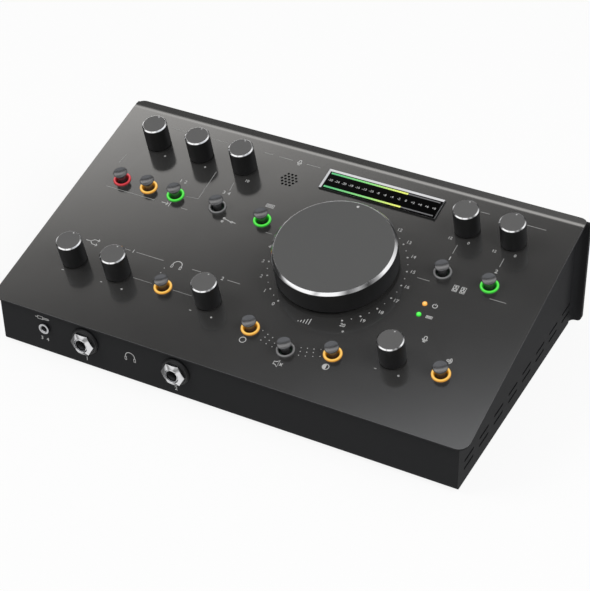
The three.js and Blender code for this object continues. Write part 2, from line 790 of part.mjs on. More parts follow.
function switchHousing() {
  const [halfX, halfZ] = rockerPocket();
  const [frameX, frameZ] = rockerFrame();
  const x = alongRear(rockerShare);
  const pocketFloor = rockerPivotY - rockerBack - 2 * rockerEndGap;
  const pocket = block([x - halfX, pocketFloor, socketHeight - halfZ],
    [x + halfX, rearY + rockerTip, socketHeight + halfZ]);
  const pinReach = halfX + rockerPinReach;
  const pinHole = bore(rockerPinRadius + rockerPinClearance, -pinReach, pinReach)
    .rotate([0, 90, 0])
    .translate(x, rockerPivotY, socketHeight);
  const housing = onSocketBoard(rockerShare, 2 * frameX, 2 * frameZ, rearY + switchFrameProud);
  return cut(housing, pocket, pinHole);
}

// The power rocker, drawn level about its pivot pins
function powerRocker() {
  const profile = outline([[rockerValley, 0], [rockerTip, rockerHalfHeight], [-rockerBack, rockerHalfHeight],
    [-rockerBack, -rockerHalfHeight], [rockerTip, -rockerHalfHeight]]);
  const body = alongX(profile, -rockerWidth / 2, rockerWidth / 2);
  const pinEnd = rockerWidth / 2 + rockerGap + rockerPinReach - rockerPinClearance;
  return body.add(rod(rockerPinRadius, -pinEnd, pinEnd, smallSides).rotate([0, 90, 0]));
}

// A combined socket: a flange on the panel, and a barrel with a ring-shaped recess round a bored core
function comboSocket() {
  const flangeBack = rearY + seatGap;
  const face = flangeBack + comboFlangeSheet;
  const [halfX, halfZ] = [comboFlangeWidth / 2, comboFlangeHeight / 2];
  const corners = Array(4).fill(comboFlangeCorner);
  const flange = alongY(roundedRectangle([-halfX, -halfZ], [halfX, halfZ], corners), flangeBack, face);
  const barrel = rodAlongY(comboRadius, socketBoardFront + seatGap, face - seatGap);
  const recess = rodAlongY(comboRecessRadius, face - comboRecessDepth, face + overrun);
  const core = rodAlongY(comboCoreRadius, face - comboRecessDepth - overrun, face - panelSheet);
  const hole = rodAlongY(jackBore, socketBoardFront + seatGap + comboBackWall, face + overrun);
  return flange.add(barrel).subtract(recess).add(core).subtract(hole);
}

place('base_tray', geometryOf(baseTray()), trayPaint, chassis);
place('top_cover', geometryOf(topCover()), coverPaint, chassis);
place('rear_panel', geometryOf(rearPanel()), panelPaint, chassis);
place('control_board', geometryOf(controlBoard()), boardGreen, deck);
place('socket_board', geometryOf(socketBoard()), blackPlastic, chassis);

const footX = halfTray - footInset;
const footYs = { front: trayFrontInset + footInset, rear: flangeBackY - footInset };
for (const [end, y] of Object.entries(footYs)) {
  place(`foot_${end}_left`, foot(), rubber, chassis, -footX, y, -footHeight - glueGap);
  place(`foot_${end}_right`, foot(), rubber, chassis, footX, y, -footHeight - glueGap);
}

const meterLens = meterOpening(meterLensClearance, meterLensFoot, meterFrameRise - meterLensSink);
place('meter_window', geometryOf(meterLens), smokedLens, deck);
place('meter_bezel', geometryOf(meterBezel()), silver, deck);
place('talkback_mic', talkbackMic(), steel, deck, micX, micY, 0);
for (const [name, row, color] of lights) {
  place(name, indicator(), lamp(lampColors[color]), deck, lightX, upPlate(row), 0);
}

for (const [name, x, y] of knobs) {
  place(name, geometryOf(smallKnob()), blackPlastic, deck, acrossPlate(x), upPlate(y), 0);
}
place('volume_knob', volumeKnob(), blackPlastic, deck, volumeX, volumeY, 0);
place('volume_cap', geometryOf(volumeCap()), satinDisc, deck, volumeX, volumeY, 0);
place('volume_shaft', volumeShaft(), steel, deck, volumeX, volumeY, 0);

for (const [name, x, y, color] of buttons) {
  place(`${name}_button`, buttonCap(), buttonPlastic, deck, acrossPlate(x), upPlate(y), 0);
  place(`${name}_ring`, lightRing(), lamp(lampColors[color]), deck, acrossPlate(x), upPlate(y), 0);
}

phonesShares.forEach((share, i) => {
  const x = acrossPlate(share);
  place(`phones_jack_${i + 1}`, geometryOf(phonesJack()), blackPlastic, chassis, x, 0, jackHeight);
  place(`phones_collar_${i + 1}`, jackCollar(), blackPlastic, chassis, x, collarBackY, jackHeight);
  place(`phones_nut_${i + 1}`, geometryOf(jackNut()), chrome, chassis, x, 0, jackHeight);
});
const smallJackX = acrossPlate(smallJackShare);
place('stereo_in_jack', geometryOf(stereoJack()), silver, chassis, smallJackX, 0, jackHeight);

comboShares.forEach((share, i) => {
  const x = alongRear(share);
  place(`combo_socket_${i + 1}`, geometryOf(comboSocket()), blackPlastic, chassis, x, 0, socketHeight);
});
const rocker = place('power_rocker', geometryOf(powerRocker()), blackPlastic, chassis);
rocker.position.set(alongRear(rockerShare), rockerPivotY, socketHeight);
rocker.rotation.x = rockerTilt;

export default unit;
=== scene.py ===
# Studio monitor controller: finishes, plate print, floor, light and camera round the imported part
import json
import math
import bmesh
import bpy
from mathutils import Matrix, Vector


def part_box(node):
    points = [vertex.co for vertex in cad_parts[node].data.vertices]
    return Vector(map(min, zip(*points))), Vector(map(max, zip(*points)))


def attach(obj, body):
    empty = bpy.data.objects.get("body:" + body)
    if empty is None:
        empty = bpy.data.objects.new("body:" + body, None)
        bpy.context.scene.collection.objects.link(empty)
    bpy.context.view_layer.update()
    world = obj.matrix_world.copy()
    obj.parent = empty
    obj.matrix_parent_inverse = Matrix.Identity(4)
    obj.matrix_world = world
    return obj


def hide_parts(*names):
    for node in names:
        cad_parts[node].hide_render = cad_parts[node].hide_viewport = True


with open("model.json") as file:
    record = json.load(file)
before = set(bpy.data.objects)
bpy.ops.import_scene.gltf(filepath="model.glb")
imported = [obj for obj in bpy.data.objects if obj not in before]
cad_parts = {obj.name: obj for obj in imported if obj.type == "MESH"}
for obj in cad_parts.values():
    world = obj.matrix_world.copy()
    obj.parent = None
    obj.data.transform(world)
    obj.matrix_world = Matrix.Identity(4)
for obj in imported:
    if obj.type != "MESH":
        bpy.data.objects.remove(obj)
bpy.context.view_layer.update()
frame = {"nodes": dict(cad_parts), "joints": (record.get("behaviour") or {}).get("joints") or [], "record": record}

mm = 0.001
weld = 1e-7
# a length too small to matter, in either unit
tiny = 1e-6
record = frame["record"]
nodes = frame["nodes"]
joints = {joint["name"]: joint for joint in frame["joints"]}
bodyOf = {node: body for body, names in record["behaviour"]["bodies"].items() for node in names}
slotOf = {part["node"]: part["material_slot"] for part in record["subparts"]}
print("stage: frame loaded,", len(nodes), "nodes")

# The deck's own frame: X across, Y up the slope from the plate's front edge, Z square out of the plate
pivot = Vector(joints["volume_turn"]["pos_m"])
plateNormal = Vector(joints["volume_turn"]["axis"]).normalized()
upSlope = plateNormal.cross(Vector((1, 0, 0)))
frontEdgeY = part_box("top_cover")[0].y
frontEdgeZ = pivot.z + (frontEdgeY - pivot.y) * upSlope.z / upSlope.y
deckAxes = Matrix((Vector((1, 0, 0)), upSlope, plateNormal)).transposed().to_4x4()
deck = Matrix.Translation((0, frontEdgeY, frontEdgeZ)) @ deckAxes
toDeck = deck.inverted()
plateSlope = math.atan2(upSlope.z, upSlope.y)


def deckBox(node):
    # lowest and highest corners of a node in the deck's frame, in mm
    points = [toDeck @ vertex.co / mm for vertex in nodes[node].data.vertices]
    low = Vector([min(point[i] for point in points) for i in range(3)])
    high = Vector([max(point[i] for point in points) for i in range(3)])
    return low, high


def caseBox(node):
    low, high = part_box(node)
    return low / mm, high / mm


def middleOf(box):
    return (box[0] + box[1]) / 2


# materials


def newMaterial(name):
    material = bpy.data.materials.new(name)
    material.use_nodes = True
    tree = material.node_tree
    return material, tree, tree.nodes["Principled BSDF"]


def setInputs(node, values):
    # each value is a constant, an output to link, or a node whose first output is linked
    for socket, value in values.items():
        if isinstance(value, bpy.types.Node):
            value = value.outputs[0]
        if isinstance(value, bpy.types.NodeSocket):
            node.id_data.links.new(value, node.inputs[socket])
        else:
            node.inputs[socket].default_value = value


def addNode(tree, kind, values=None, **settings):
    node = tree.nodes.new(kind)
    for key, value in settings.items():
        setattr(node, key, value)
    setInputs(node, values or {})
    return node


def colorRamp(tree, value, stops):
    # a ramp through (position, colour) stops, in order of position
    node = addNode(tree, "ShaderNodeValToRGB", {"Fac": value})
    elements = node.color_ramp.elements
    elements[0].position = stops[0][0]
    elements[1].position = stops[-1][0]
    for position, _ in stops[1:-1]:
        elements.new(position)
    for element, (_, color) in zip(elements, stops):
        element.color = (*color, 1)
    return node


def finish(name, look):
    # a surface with a slightly uneven colour and gloss, and perhaps a fine grain raised from it
    material, tree, shader = newMaterial(name)
    place = addNode(tree, "ShaderNodeTexCoord").outputs["Object"]
    cloud = addNode(tree, "ShaderNodeTexNoise", {
        "Vector": place, "Scale": look["mottleScale"], "Detail": look["mottleDetail"]})
    tone = addNode(tree, "ShaderNodeMapRange", {
        "Value": cloud, "To Min": 1 - look["mottle"], "To Max": 1 + look["mottle"]})
    gloss = addNode(tree, "ShaderNodeMapRange", {
        "Value": cloud, "To Min": look["roughness"] - look["glossSpread"],
        "To Max": look["roughness"] + look["glossSpread"]})
    tint = addNode(tree, "ShaderNodeVectorMath", {0: look["color"], "Scale": tone}, operation="SCALE")
    setInputs(shader, {"Base Color": tint, "Roughness": gloss, "Metallic": look["metallic"],
                       "Specular IOR Level": look["specular"]})
    if look["grain"] > 0:
        grain = addNode(tree, "ShaderNodeTexNoise", {
            "Vector": place, "Scale": look["grainScale"], "Detail": look["grainDetail"]})
        bump = addNode(tree, "ShaderNodeBump", {
            "Height": grain, "Strength": look["grain"], "Distance": look["grainDepth"]})
        setInputs(shader, {"Normal": bump})
    return material


def lampFinish(name, look):
    # a light moulding: its colour follows the "lit" attribute, which is 0 in its dark parts, so its bright crest
    # and dark parts are painted glow and painted shade (in the meter's bars it picks the colour along the bar)
    material, tree, shader = newMaterial(name)
    lit = addNode(tree, "ShaderNodeAttribute", attribute_name="lit").outputs["Fac"]
    ramp = colorRamp(tree, lit, look["stops"])
    if look["strength"] > 0:
        setInputs(shader, {"Emission Color": ramp, "Base Color": (*look["body"], 1)})
    else:
        setInputs(shader, {"Base Color": ramp})
    setInputs(shader, {"Emission Strength": look["strength"], "Roughness": look["roughness"],
                       "Coat Weight": look["coat"]})
    return material


commonLook = {"metallic": 0, "specular": 0.5, "mottleScale": 60, "mottleDetail": 4, "glossSpread": 0.04,
              "grain": 0, "grainScale": 2500, "grainDetail": 2, "grainDepth": 0.0002}
discLook = {"roughness": 0.5, "specular": 0.3, "mottle": 0.03, "mottleScale": 700, "grain": 0.12,
            "grainScale": 7000}
printLook = {"roughness": 0.5, "mottle": 0.05, "mottleScale": 900}
finishes = {
    "coverPaint": {"color": (0.17, 0.168, 0.165), "metallic": 0.85, "roughness": 0.12, "mottle": 0.03,
                   "mottleScale": 35, "glossSpread": 0.01, "grain": 0.008, "grainScale": 4000},
    "trayPaint": {"color": (0.015, 0.0153, 0.0162), "roughness": 0.5, "specular": 0.08, "mottle": 0.08,
                  "grain": 0.25, "grainScale": 3000},
    "panelPaint": {"color": (0.022, 0.022, 0.024), "roughness": 0.55, "specular": 0.3, "mottle": 0.08,
                   "grain": 0.3, "grainScale": 3000},
    "knobPlastic": {"color": (0.0075, 0.0075, 0.0078), "roughness": 0.42, "specular": 0.35, "mottle": 0.12,
                    "mottleScale": 400, "grain": 0.15, "grainScale": 5000},
    "satinDisc": {**discLook, "color": (0.077, 0.077, 0.076)},
    "knobDisc": {**discLook, "color": (0.095, 0.094, 0.093)},
    "turnedEdge": {"color": (0.88, 0.88, 0.89), "metallic": 1, "roughness": 0.1, "mottle": 0.02,
                   "mottleScale": 900},
    "dotPaint": {"color": (0.50, 0.50, 0.50), "roughness": 0.4, "mottle": 0.02, "mottleScale": 900},
    "platePrint": {**printLook, "color": (0.46, 0.46, 0.455)},
    "linePrint": {**printLook, "color": (0.27, 0.27, 0.265)},
    "scalePrint": {**printLook, "color": (0.42, 0.42, 0.42)},
    "frameMetal": {"color": (0.66, 0.66, 0.67), "metallic": 1, "roughness": 0.22, "mottle": 0.03},
    "buttonSatin": {"color": (0.115, 0.115, 0.118), "metallic": 0.8, "roughness": 0.2, "mottle": 0.15,
                    "glossSpread": 0.05, "mottleScale": 300},
    "unlitBar": {"color": (0.14, 0.14, 0.145), "roughness": 0.3, "mottle": 0.05},
    "smokedGlass": {"color": (0.0015, 0.0015, 0.0016), "roughness": 0.06, "specular": 0.05, "mottle": 0.1,
                    "glossSpread": 0.01},
    "brightMetal": {"color": (0.42, 0.42, 0.43), "metallic": 1, "roughness": 0.22, "mottle": 0.03},
    "chromePlate": {"color": (0.66, 0.66, 0.67), "metallic": 1, "roughness": 0.1, "mottle": 0.03,
                    "glossSpread": 0.03, "mottleScale": 250},
    "collarPlastic": {"color": (0.011, 0.011, 0.0115), "roughness": 0.42, "specular": 0.4, "mottle": 0.08,
                      "grain": 0.2},
    "socketPlastic": {"color": (0.010, 0.010, 0.011), "roughness": 0.35, "specular": 0.4, "mottle": 0.1,
                      "grain": 0.15},
    "circuitGreen": {"color": (0.02, 0.09, 0.045), "roughness": 0.4, "mottle": 0.15},
    "shaftSteel": {"color": (0.5, 0.5, 0.5), "metallic": 1, "roughness": 0.35, "mottle": 0.05},
    "screwBlack": {"color": (0.05, 0.05, 0.052), "metallic": 0.8, "roughness": 0.35, "mottle": 0.1},
    "rubberFoot": {"color": (0.016, 0.016, 0.016), "roughness": 0.85, "specular": 0.3, "mottle": 0.15,
                   "grain": 0.5, "grainScale": 1800},
    "micCloth": {"color": (0.004, 0.004, 0.004), "roughness": 0.95, "specular": 0.1, "mottle": 0.3,
                 "mottleScale": 1500},
}
commonLamp = {"strength": 1.0, "roughness": 0.25, "coat": 0.3}
# ring and dot ramps run from painted shade at 0 to a painted bright core at 1; the meter's ramp is the bars'
# colour along their length
lampLooks = {
    "redLamp": {"stops": [(0, (0.02, 0.001, 0.001)), (0.45, (0.22, 0.006, 0.01)), (1, (0.80, 0.06, 0.08))],
                "body": (0.12, 0.01, 0.01), "strength": 0.9},
    "amberLamp": {"stops": [(0, (0.04, 0.012, 0.001)), (0.45, (0.50, 0.19, 0.005)), (1, (1.0, 0.66, 0.16))],
                  "body": (0.13, 0.06, 0.01), "strength": 1.05},
    "greenLamp": {"stops": [(0, (0.002, 0.03, 0.002)), (0.45, (0.006, 0.32, 0.01)), (1, (0.12, 0.92, 0.09))],
                  "body": (0.01, 0.10, 0.01)},
    # the grey ring does not glow: its lighter crest is a painted highlight and its outer wall painted shade
    "greyLamp": {"stops": [(0, (0.022, 0.022, 0.023)), (0.45, (0.06, 0.06, 0.062)), (1, (0.30, 0.30, 0.30))],
                 "strength": 0},
    "amberDot": {"stops": [(0, (0.30, 0.09, 0.003)), (0.5, (0.70, 0.30, 0.06)), (1, (1.0, 0.62, 0.26))],
                 "body": (0.4, 0.2, 0.02)},
    "greenDot": {"stops": [(0, (0.01, 0.22, 0.01)), (0.5, (0.03, 0.50, 0.03)), (1, (0.16, 0.90, 0.14))],
                 "body": (0.02, 0.4, 0.03)},
    "meterBars": {"stops": [(0.05, (0.05, 0.42, 0.15)), (0.38, (0.20, 0.62, 0.16)),
                            (0.66, (0.75, 0.78, 0.12))],
                  "body": (0.05, 0.08, 0.04), "strength": 1.15, "roughness": 0.3, "coat": 0},
}
materials = {name: finish(name, {**commonLook, **look}) for name, look in finishes.items()}
materials.update({name: lampFinish(name, {**commonLamp, **look}) for name, look in lampLooks.items()})
print("stage: materials made,", len(materials))


# mesh helpers


def placed(name, data):
    item = bpy.data.objects.new(name, data)
    bpy.context.scene.collection.objects.link(item)
    return item


def finalMesh(item):
    # the mesh that an object's modifiers leave; the object itself goes
    mesh = bpy.data.meshes.new_from_object(item.evaluated_get(bpy.context.evaluated_depsgraph_get()))
    bpy.data.objects.remove(item)
    return mesh


def keepPiece(name, mesh, look, node=None, slot=None):
    # a finished mesh becomes a piece that rides with a CAD node, or with the case; unless it has a slot of
    # its own, it stands for the node, which is hidden
    piece = placed(name, mesh)
    if look is not None:
        if mesh.materials:
            mesh.materials.clear()
        for item in ([look] if isinstance(look, str) else look):
            mesh.materials.append(materials[item])
    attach(piece, bodyOf.get(node, "case"))
    if node and not slot:
        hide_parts(node)
    return piece


def smoothed(mesh, angle=35):
    mesh.shade_smooth()
    mesh.set_sharp_from_angle(angle=math.radians(angle))
    return mesh


def written(bm, name):
    mesh = bpy.data.meshes.new(name)
    bm.to_mesh(mesh)
    bm.free()
    return mesh


def toMesh(bm, name, place=None, angle=35):
    bmesh.ops.remove_doubles(bm, verts=bm.verts, dist=weld)
    bmesh.ops.recalc_face_normals(bm, faces=bm.faces)
    mesh = written(bm, name)
    mesh.transform(Matrix.Scale(mm, 4))
    if place is not None:
        mesh.transform(place)
    return smoothed(mesh, angle)


def rounded(points, steps=5):
    # [radius, height] or [radius, height, rounding] points, with the rounded corners drawn as arcs
    flat = []
    for i, point in enumerate(points):
        corner = Vector(point[:2])
        size = point[2] if len(point) > 2 else 0
        if size <= 0 or i in (0, len(points) - 1):
            flat.append(corner)
            continue
        before = (Vector(points[i - 1][:2]) - corner).normalized()
        after = (Vector(points[i + 1][:2]) - corner).normalized()
        half = before.angle(after) / 2
        reach = size / math.tan(half)
        centre = corner + (before + after).normalized() * (size / math.sin(half))
        start = (corner + before * reach - centre).normalized()
        end = (corner + after * reach - centre).normalized()
        for step in range(steps + 1):
            flat.append(centre + start.slerp(end, step / steps) * size)
    return flat


def polar(angle, radius):
    return radius * math.cos(angle), radius * math.sin(angle)


def turned(profile, steps=64, split=math.inf):
    # a solid of revolution about Z, with the second look from the profile's segment "split" on
    bm = bmesh.new()
    rings = []
    for radius, height in profile:
        count = 1 if radius < tiny else steps
        rings.append([bm.verts.new((*polar(2 * math.pi * i / steps, radius), height)) for i in range(count)])
    for k, (low, high) in enumerate(zip(rings, rings[1:])):
        for i in range(steps):
            j = (i + 1) % steps
            corners = [low[i % len(low)], low[j % len(low)], high[j % len(high)], high[i % len(high)]]
            corners = list(dict.fromkeys(corners))
            if len(corners) > 2:
                bm.faces.new(corners).material_index = int(k >= split)
    return bm


def at(x, y, z=0):
    return Matrix.Translation(Vector((x, y, z)) * mm)


def onDeck(x, y, z=0):
    return deck @ at(x, y, z)


def paintLit(mesh, valueOf):
    # stores how brightly each point of a lit moulding shines: a painted glow, highlight and shade that its colour
    # follows
    layer = mesh.attributes.new("lit", "FLOAT", "POINT")
    for i, vertex in enumerate(mesh.vertices):
        layer.data[i].value = valueOf(vertex.co)


def turnedPiece(name, profile, place, look, node, slot=None, steps=64, split=math.inf, angle=35):
    keepPiece(name, toMesh(turned(profile, steps, split), name, place, angle), look, node, slot)


brokenEdge = {"angle": 30, "flatWeight": 100}


def bevelledCopy(node, name, look, width=0.3, segments=2, dissolve=1.0):
    # a CAD piece with its edges broken, as folded steel and mouldings have
    bm = bmesh.new()
    bm.from_mesh(nodes[node].data)
    bmesh.ops.remove_doubles(bm, verts=bm.verts, dist=tiny)
    bmesh.ops.dissolve_limit(bm, angle_limit=math.radians(dissolve), verts=bm.verts, edges=bm.edges)
    mesh = written(bm, name)
    if width == 0:
        return keepPiece(name, smoothed(mesh, brokenEdge["angle"]), look, node)
    mesh.shade_smooth()
    holder = placed(name, mesh)
    bevel = holder.modifiers.new("brokenEdges", "BEVEL")
    bevel.width = width * mm
    bevel.segments = segments
    bevel.limit_method = "ANGLE"
    bevel.angle_limit = math.radians(brokenEdge["angle"])
    holder.modifiers.new("flatFaces", "WEIGHTED_NORMAL").weight = brokenEdge["flatWeight"]
    return keepPiece(name, finalMesh(holder), look, node)


def sweptRound(sectionAt, steps, closed):
    # a solid of revolution whose (radius, height) section changes with the angle; an open one is capped
    bm = bmesh.new()
    rows = []
    for i in range(steps):
        angle = 2 * math.pi * i / steps
        rows.append([bm.verts.new((*polar(angle, radius), z)) for radius, z in sectionAt(angle)])
    for one, two in zip(rows, rows[1:] + rows[:1]):
        for k in range(len(one) if closed else len(one) - 1):
            j = (k + 1) % len(one)
            bm.faces.new((one[k], two[k], two[j], one[j]))
    if not closed:
        bm.faces.new([row[-1] for row in rows])
        bm.faces.new([row[0] for row in reversed(rows)])
    return bm


def hexagonReach(flat, angle):
    # how far out a hexagon's side lies at an angle
    return flat / math.cos(angle % (math.pi / 3) - math.pi / 6)


# Geometry Nodes helpers


def newTree(name, inputs):
    # a tree that takes geometry, the given inputs and a material
    tree = bpy.data.node_groups.new(name, "GeometryNodeTree")
    for label, kind in (("Geometry", "Geometry"), *inputs, ("Material", "Material")):
        tree.interface.new_socket(label, in_out="INPUT", socket_type="NodeSocket" + kind)
    tree.interface.new_socket("Geometry", in_out="OUTPUT", socket_type="NodeSocketGeometry")
    return tree, tree.nodes.new("NodeGroupInput").outputs


def endTree(tree, given, geometry):
    # ends a tree with plain geometry of the given material
    real = addNode(tree, "GeometryNodeRealizeInstances", {0: geometry})
    coat = addNode(tree, "GeometryNodeSetMaterial", {0: real, "Material": given["Material"]})
    addNode(tree, "NodeGroupOutput", {0: coat})
    return tree


def runTree(mesh, tree, look, values):
    # puts a mesh through a node tree and gives the plain mesh that comes out
    holder = placed(tree.name, mesh)
    modifier = holder.modifiers.new(tree.name, "NODES")
    modifier.node_group = tree
    sockets = {item.name: item.identifier for item in tree.interface.items_tree if item.in_out == "INPUT"}
    for label, value in {**values, "Material": materials[look]}.items():
        modifier[sockets[label]] = value
    return finalMesh(holder)


def strokeTree():
    # raised ink along every line of a drawing
    tree, given = newTree("inkStrokes", [("Width", "Float"), ("Height", "Float")])
    line = addNode(tree, "GeometryNodeMeshToCurve", {0: given["Geometry"]})
    level = addNode(tree, "GeometryNodeSetCurveNormal", {0: line}, mode="Z_UP")
    section = addNode(tree, "GeometryNodeCurvePrimitiveQuadrilateral", {
        "Width": given["Width"], "Height": given["Height"]})
    sweep = addNode(tree, "GeometryNodeCurveToMesh", {
        "Curve": level, "Profile Curve": section, "Fill Caps": True})
    return endTree(tree, given, sweep)


def dotTree():
    # a raised round dot on every point, as wide as the point's own "size"
    tree, given = newTree("inkDots", [("Height", "Float"), ("Sides", "Int")])
    disc = addNode(tree, "GeometryNodeMeshCylinder", {
        "Vertices": given["Sides"], "Radius": 1.0, "Depth": given["Height"]})
    size = addNode(tree, "GeometryNodeInputNamedAttribute", {"Name": "size"})
    scale = addNode(tree, "ShaderNodeCombineXYZ", {"X": size, "Y": size, "Z": 1.0})
    spread = addNode(tree, "GeometryNodeInstanceOnPoints", {
        "Points": given["Geometry"], "Instance": disc, "Scale": scale})
    return endTree(tree, given, spread)


def drillTree():
    # drills a round hole through a sheet at every point of the "Places" object
    tree, given = newTree("drilledHoles", [
        ("Places", "Object"), ("Radius", "Float"), ("Depth", "Float"), ("Sides", "Int")])
    points = addNode(tree, "GeometryNodeObjectInfo", {"Object": given["Places"]}, transform_space="ORIGINAL")
    drill = addNode(tree, "GeometryNodeMeshCylinder", {
        "Vertices": given["Sides"], "Radius": given["Radius"], "Depth": given["Depth"]})
    spread = addNode(tree, "GeometryNodeInstanceOnPoints", {
        "Points": points.outputs["Geometry"], "Instance": drill})
    tools = addNode(tree, "GeometryNodeRealizeInstances", {0: spread})
    sheet = addNode(tree, "GeometryNodeMergeByDistance", {0: given["Geometry"], "Distance": tiny})
    cut = addNode(tree, "GeometryNodeMeshBoolean", {"Mesh 1": sheet, "Mesh 2": tools},
                  operation="DIFFERENCE", solver="EXACT")
    return endTree(tree, given, cut)


def repeatTree():
    # a copy of one part on every point, turned by the point's own "turn"
    tree, given = newTree("repeatedParts", [("Part", "Object")])
    part = addNode(tree, "GeometryNodeObjectInfo", {"Object": given["Part"]}, transform_space="ORIGINAL")
    turn = addNode(tree, "GeometryNodeInputNamedAttribute", {"Name": "turn"}, data_type="FLOAT_VECTOR")
    spin = addNode(tree, "FunctionNodeEulerToRotation", {0: turn})
    spread = addNode(tree, "GeometryNodeInstanceOnPoints", {
        "Points": given["Geometry"], "Instance": part.outputs["Geometry"], "Rotation": spin})
    return endTree(tree, given, spread)


inkStrokes = strokeTree()
inkDots = dotTree()
drilledHoles = drillTree()
repeatedParts = repeatTree()


def pointMesh(name, points, **attributes):
    mesh = bpy.data.meshes.new(name)
    mesh.from_pydata([Vector(point) * mm for point in points], [], [])
    for key, values in attributes.items():
        vector = isinstance(values[0], (tuple, Vector))
        layer = mesh.attributes.new(key, "FLOAT_VECTOR" if vector else "FLOAT", "POINT")
        for i, value in enumerate(values):
            if vector:
                layer.data[i].vector = value
            else:
                layer.data[i].value = value
    return mesh


def repeated(part, points, turn, look, **attributes):
    # copies of one small part, such as a screw, as one mesh
    holder = bpy.data.objects.new("repeated", part)
    source = pointMesh("repeated", points, turn=[turn] * len(points), **attributes)
    mesh = runTree(source, repeatedParts, look, {"Part": holder})
    bpy.data.objects.remove(holder)
    return smoothed(mesh)


print("stage: node trees made")


# cover plate: a flat pattern with its holes, drilled, then bent over the rear lip

cover = {"sheet": 1.5, "bendRadius": 16, "bendSteps": 10, "bendMargin": 0.5, "frontCorner": 7,
         "rearCorner": 5, "edge": 0.15, "potHole": 3.6, "ringHole": 5.0, "lightHole": 1.65, "holeSides": 40,
         "grillePitch": 2.6, "grilleHole": 0.85, "grilleRings": 2, "grilleSides": 24, "drillDepth": 6,
         "meterFrame": 1.2, "sharpAngle": 8, "paintedShadeFacing": 0.4}
knobNames = sorted(name for name in nodes if "_knob" in name and name != "volume_knob")
buttonNames = sorted(name.removesuffix("_button") for name in nodes if name.endswith("_button"))
places = {name: middleOf(deckBox(name))
          for name in [*knobNames, "volume_knob", "talkback_mic", "power_light", "usb_light"]}
places.update({name: middleOf(deckBox(name + "_ring")) for name in buttonNames})
coverLow, coverHigh = caseBox("top_cover")
halfPlate = coverHigh.x
bendReach = cover["bendRadius"] * math.tan(plateSlope / 2)
bendLength = cover["bendRadius"] * plateSlope
plateDepth = (coverHigh.z - frontEdgeZ / mm) / math.sin(plateSlope)
bendStart = plateDepth - bendReach
lipEnd = coverHigh.y - coverLow.y - plateDepth * math.cos(plateSlope) - bendReach
patternLength = bendStart + bendLength + lipEnd


def arcPoints(centre, radius, start, end, steps):
    ends = (polar(start + (end - start) * i / steps, radius) for i in range(steps + 1))
    return [(centre[0] + x, centre[1] + y) for x, y in ends]


def insetCorners(low, high, inset):
    return [(low.x + inset, low.y + inset), (high.x - inset, low.y + inset),
            (high.x - inset, high.y - inset), (low.x + inset, high.y - inset)]


def roundedOutline(low, high, radii, steps=10):
    # counter-clockwise from the low left corner, with one radius a corner
    outline = []
    for i, radius in enumerate(radii):
        start = math.pi + i * math.pi / 2
        centre = insetCorners(low, high, radius)[i]
        outline += arcPoints(centre, radius, start, start + math.pi / 2, steps)
    return outline


def filledSheet(name, outlines, thickness, edge):
    # a flat sheet with broken edges; the first outline is its rim and the others are holes
    curve = bpy.data.curves.new(name, "CURVE")
    curve.dimensions = "2D"
    curve.fill_mode = "BOTH"
    curve.extrude = (thickness / 2 - edge) * mm
    curve.bevel_depth = edge * mm
    curve.bevel_resolution = 1
    curve.offset = -edge * mm
    for i, outline in enumerate(outlines):
        spline = curve.splines.new("POLY")
        points = outline if i == 0 else outline[::-1]
        spline.points.add(len(points) - 1)
        for point, (x, y) in zip(spline.points, points):
            point.co = (x * mm, y * mm, 0, 1)
        spline.use_cyclic_u = True
    mesh = finalMesh(placed(name, curve))
    bpy.data.curves.remove(curve)
    return mesh


def hexagonGrid(centre, pitch, rings):
    points = []
    for row in range(-rings, rings + 1):
        count = 2 * rings + 1 - abs(row)
        for i in range(count):
            points.append((centre.x + (i - (count - 1) / 2) * pitch,
                           centre.y + row * pitch * math.sin(math.pi / 3), 0))
    return points


def bentOverLip(point):
    # a point of the flat pattern, in the deck's frame
    past = point.y - bendStart
    if past <= 0:
        return point
    turn = min(past / cover["bendRadius"], plateSlope)
    radius = cover["bendRadius"] + point.z
    straight = past - turn * cover["bendRadius"]
    return Vector((point.x,
                   bendStart + radius * math.sin(turn) + straight * math.cos(turn),
                   -cover["bendRadius"] + radius * math.cos(turn) - straight * math.sin(turn)))


def circle(centre, radius, steps):
    return arcPoints(centre, radius, 0, 2 * math.pi * (1 - 1 / steps), steps - 1)


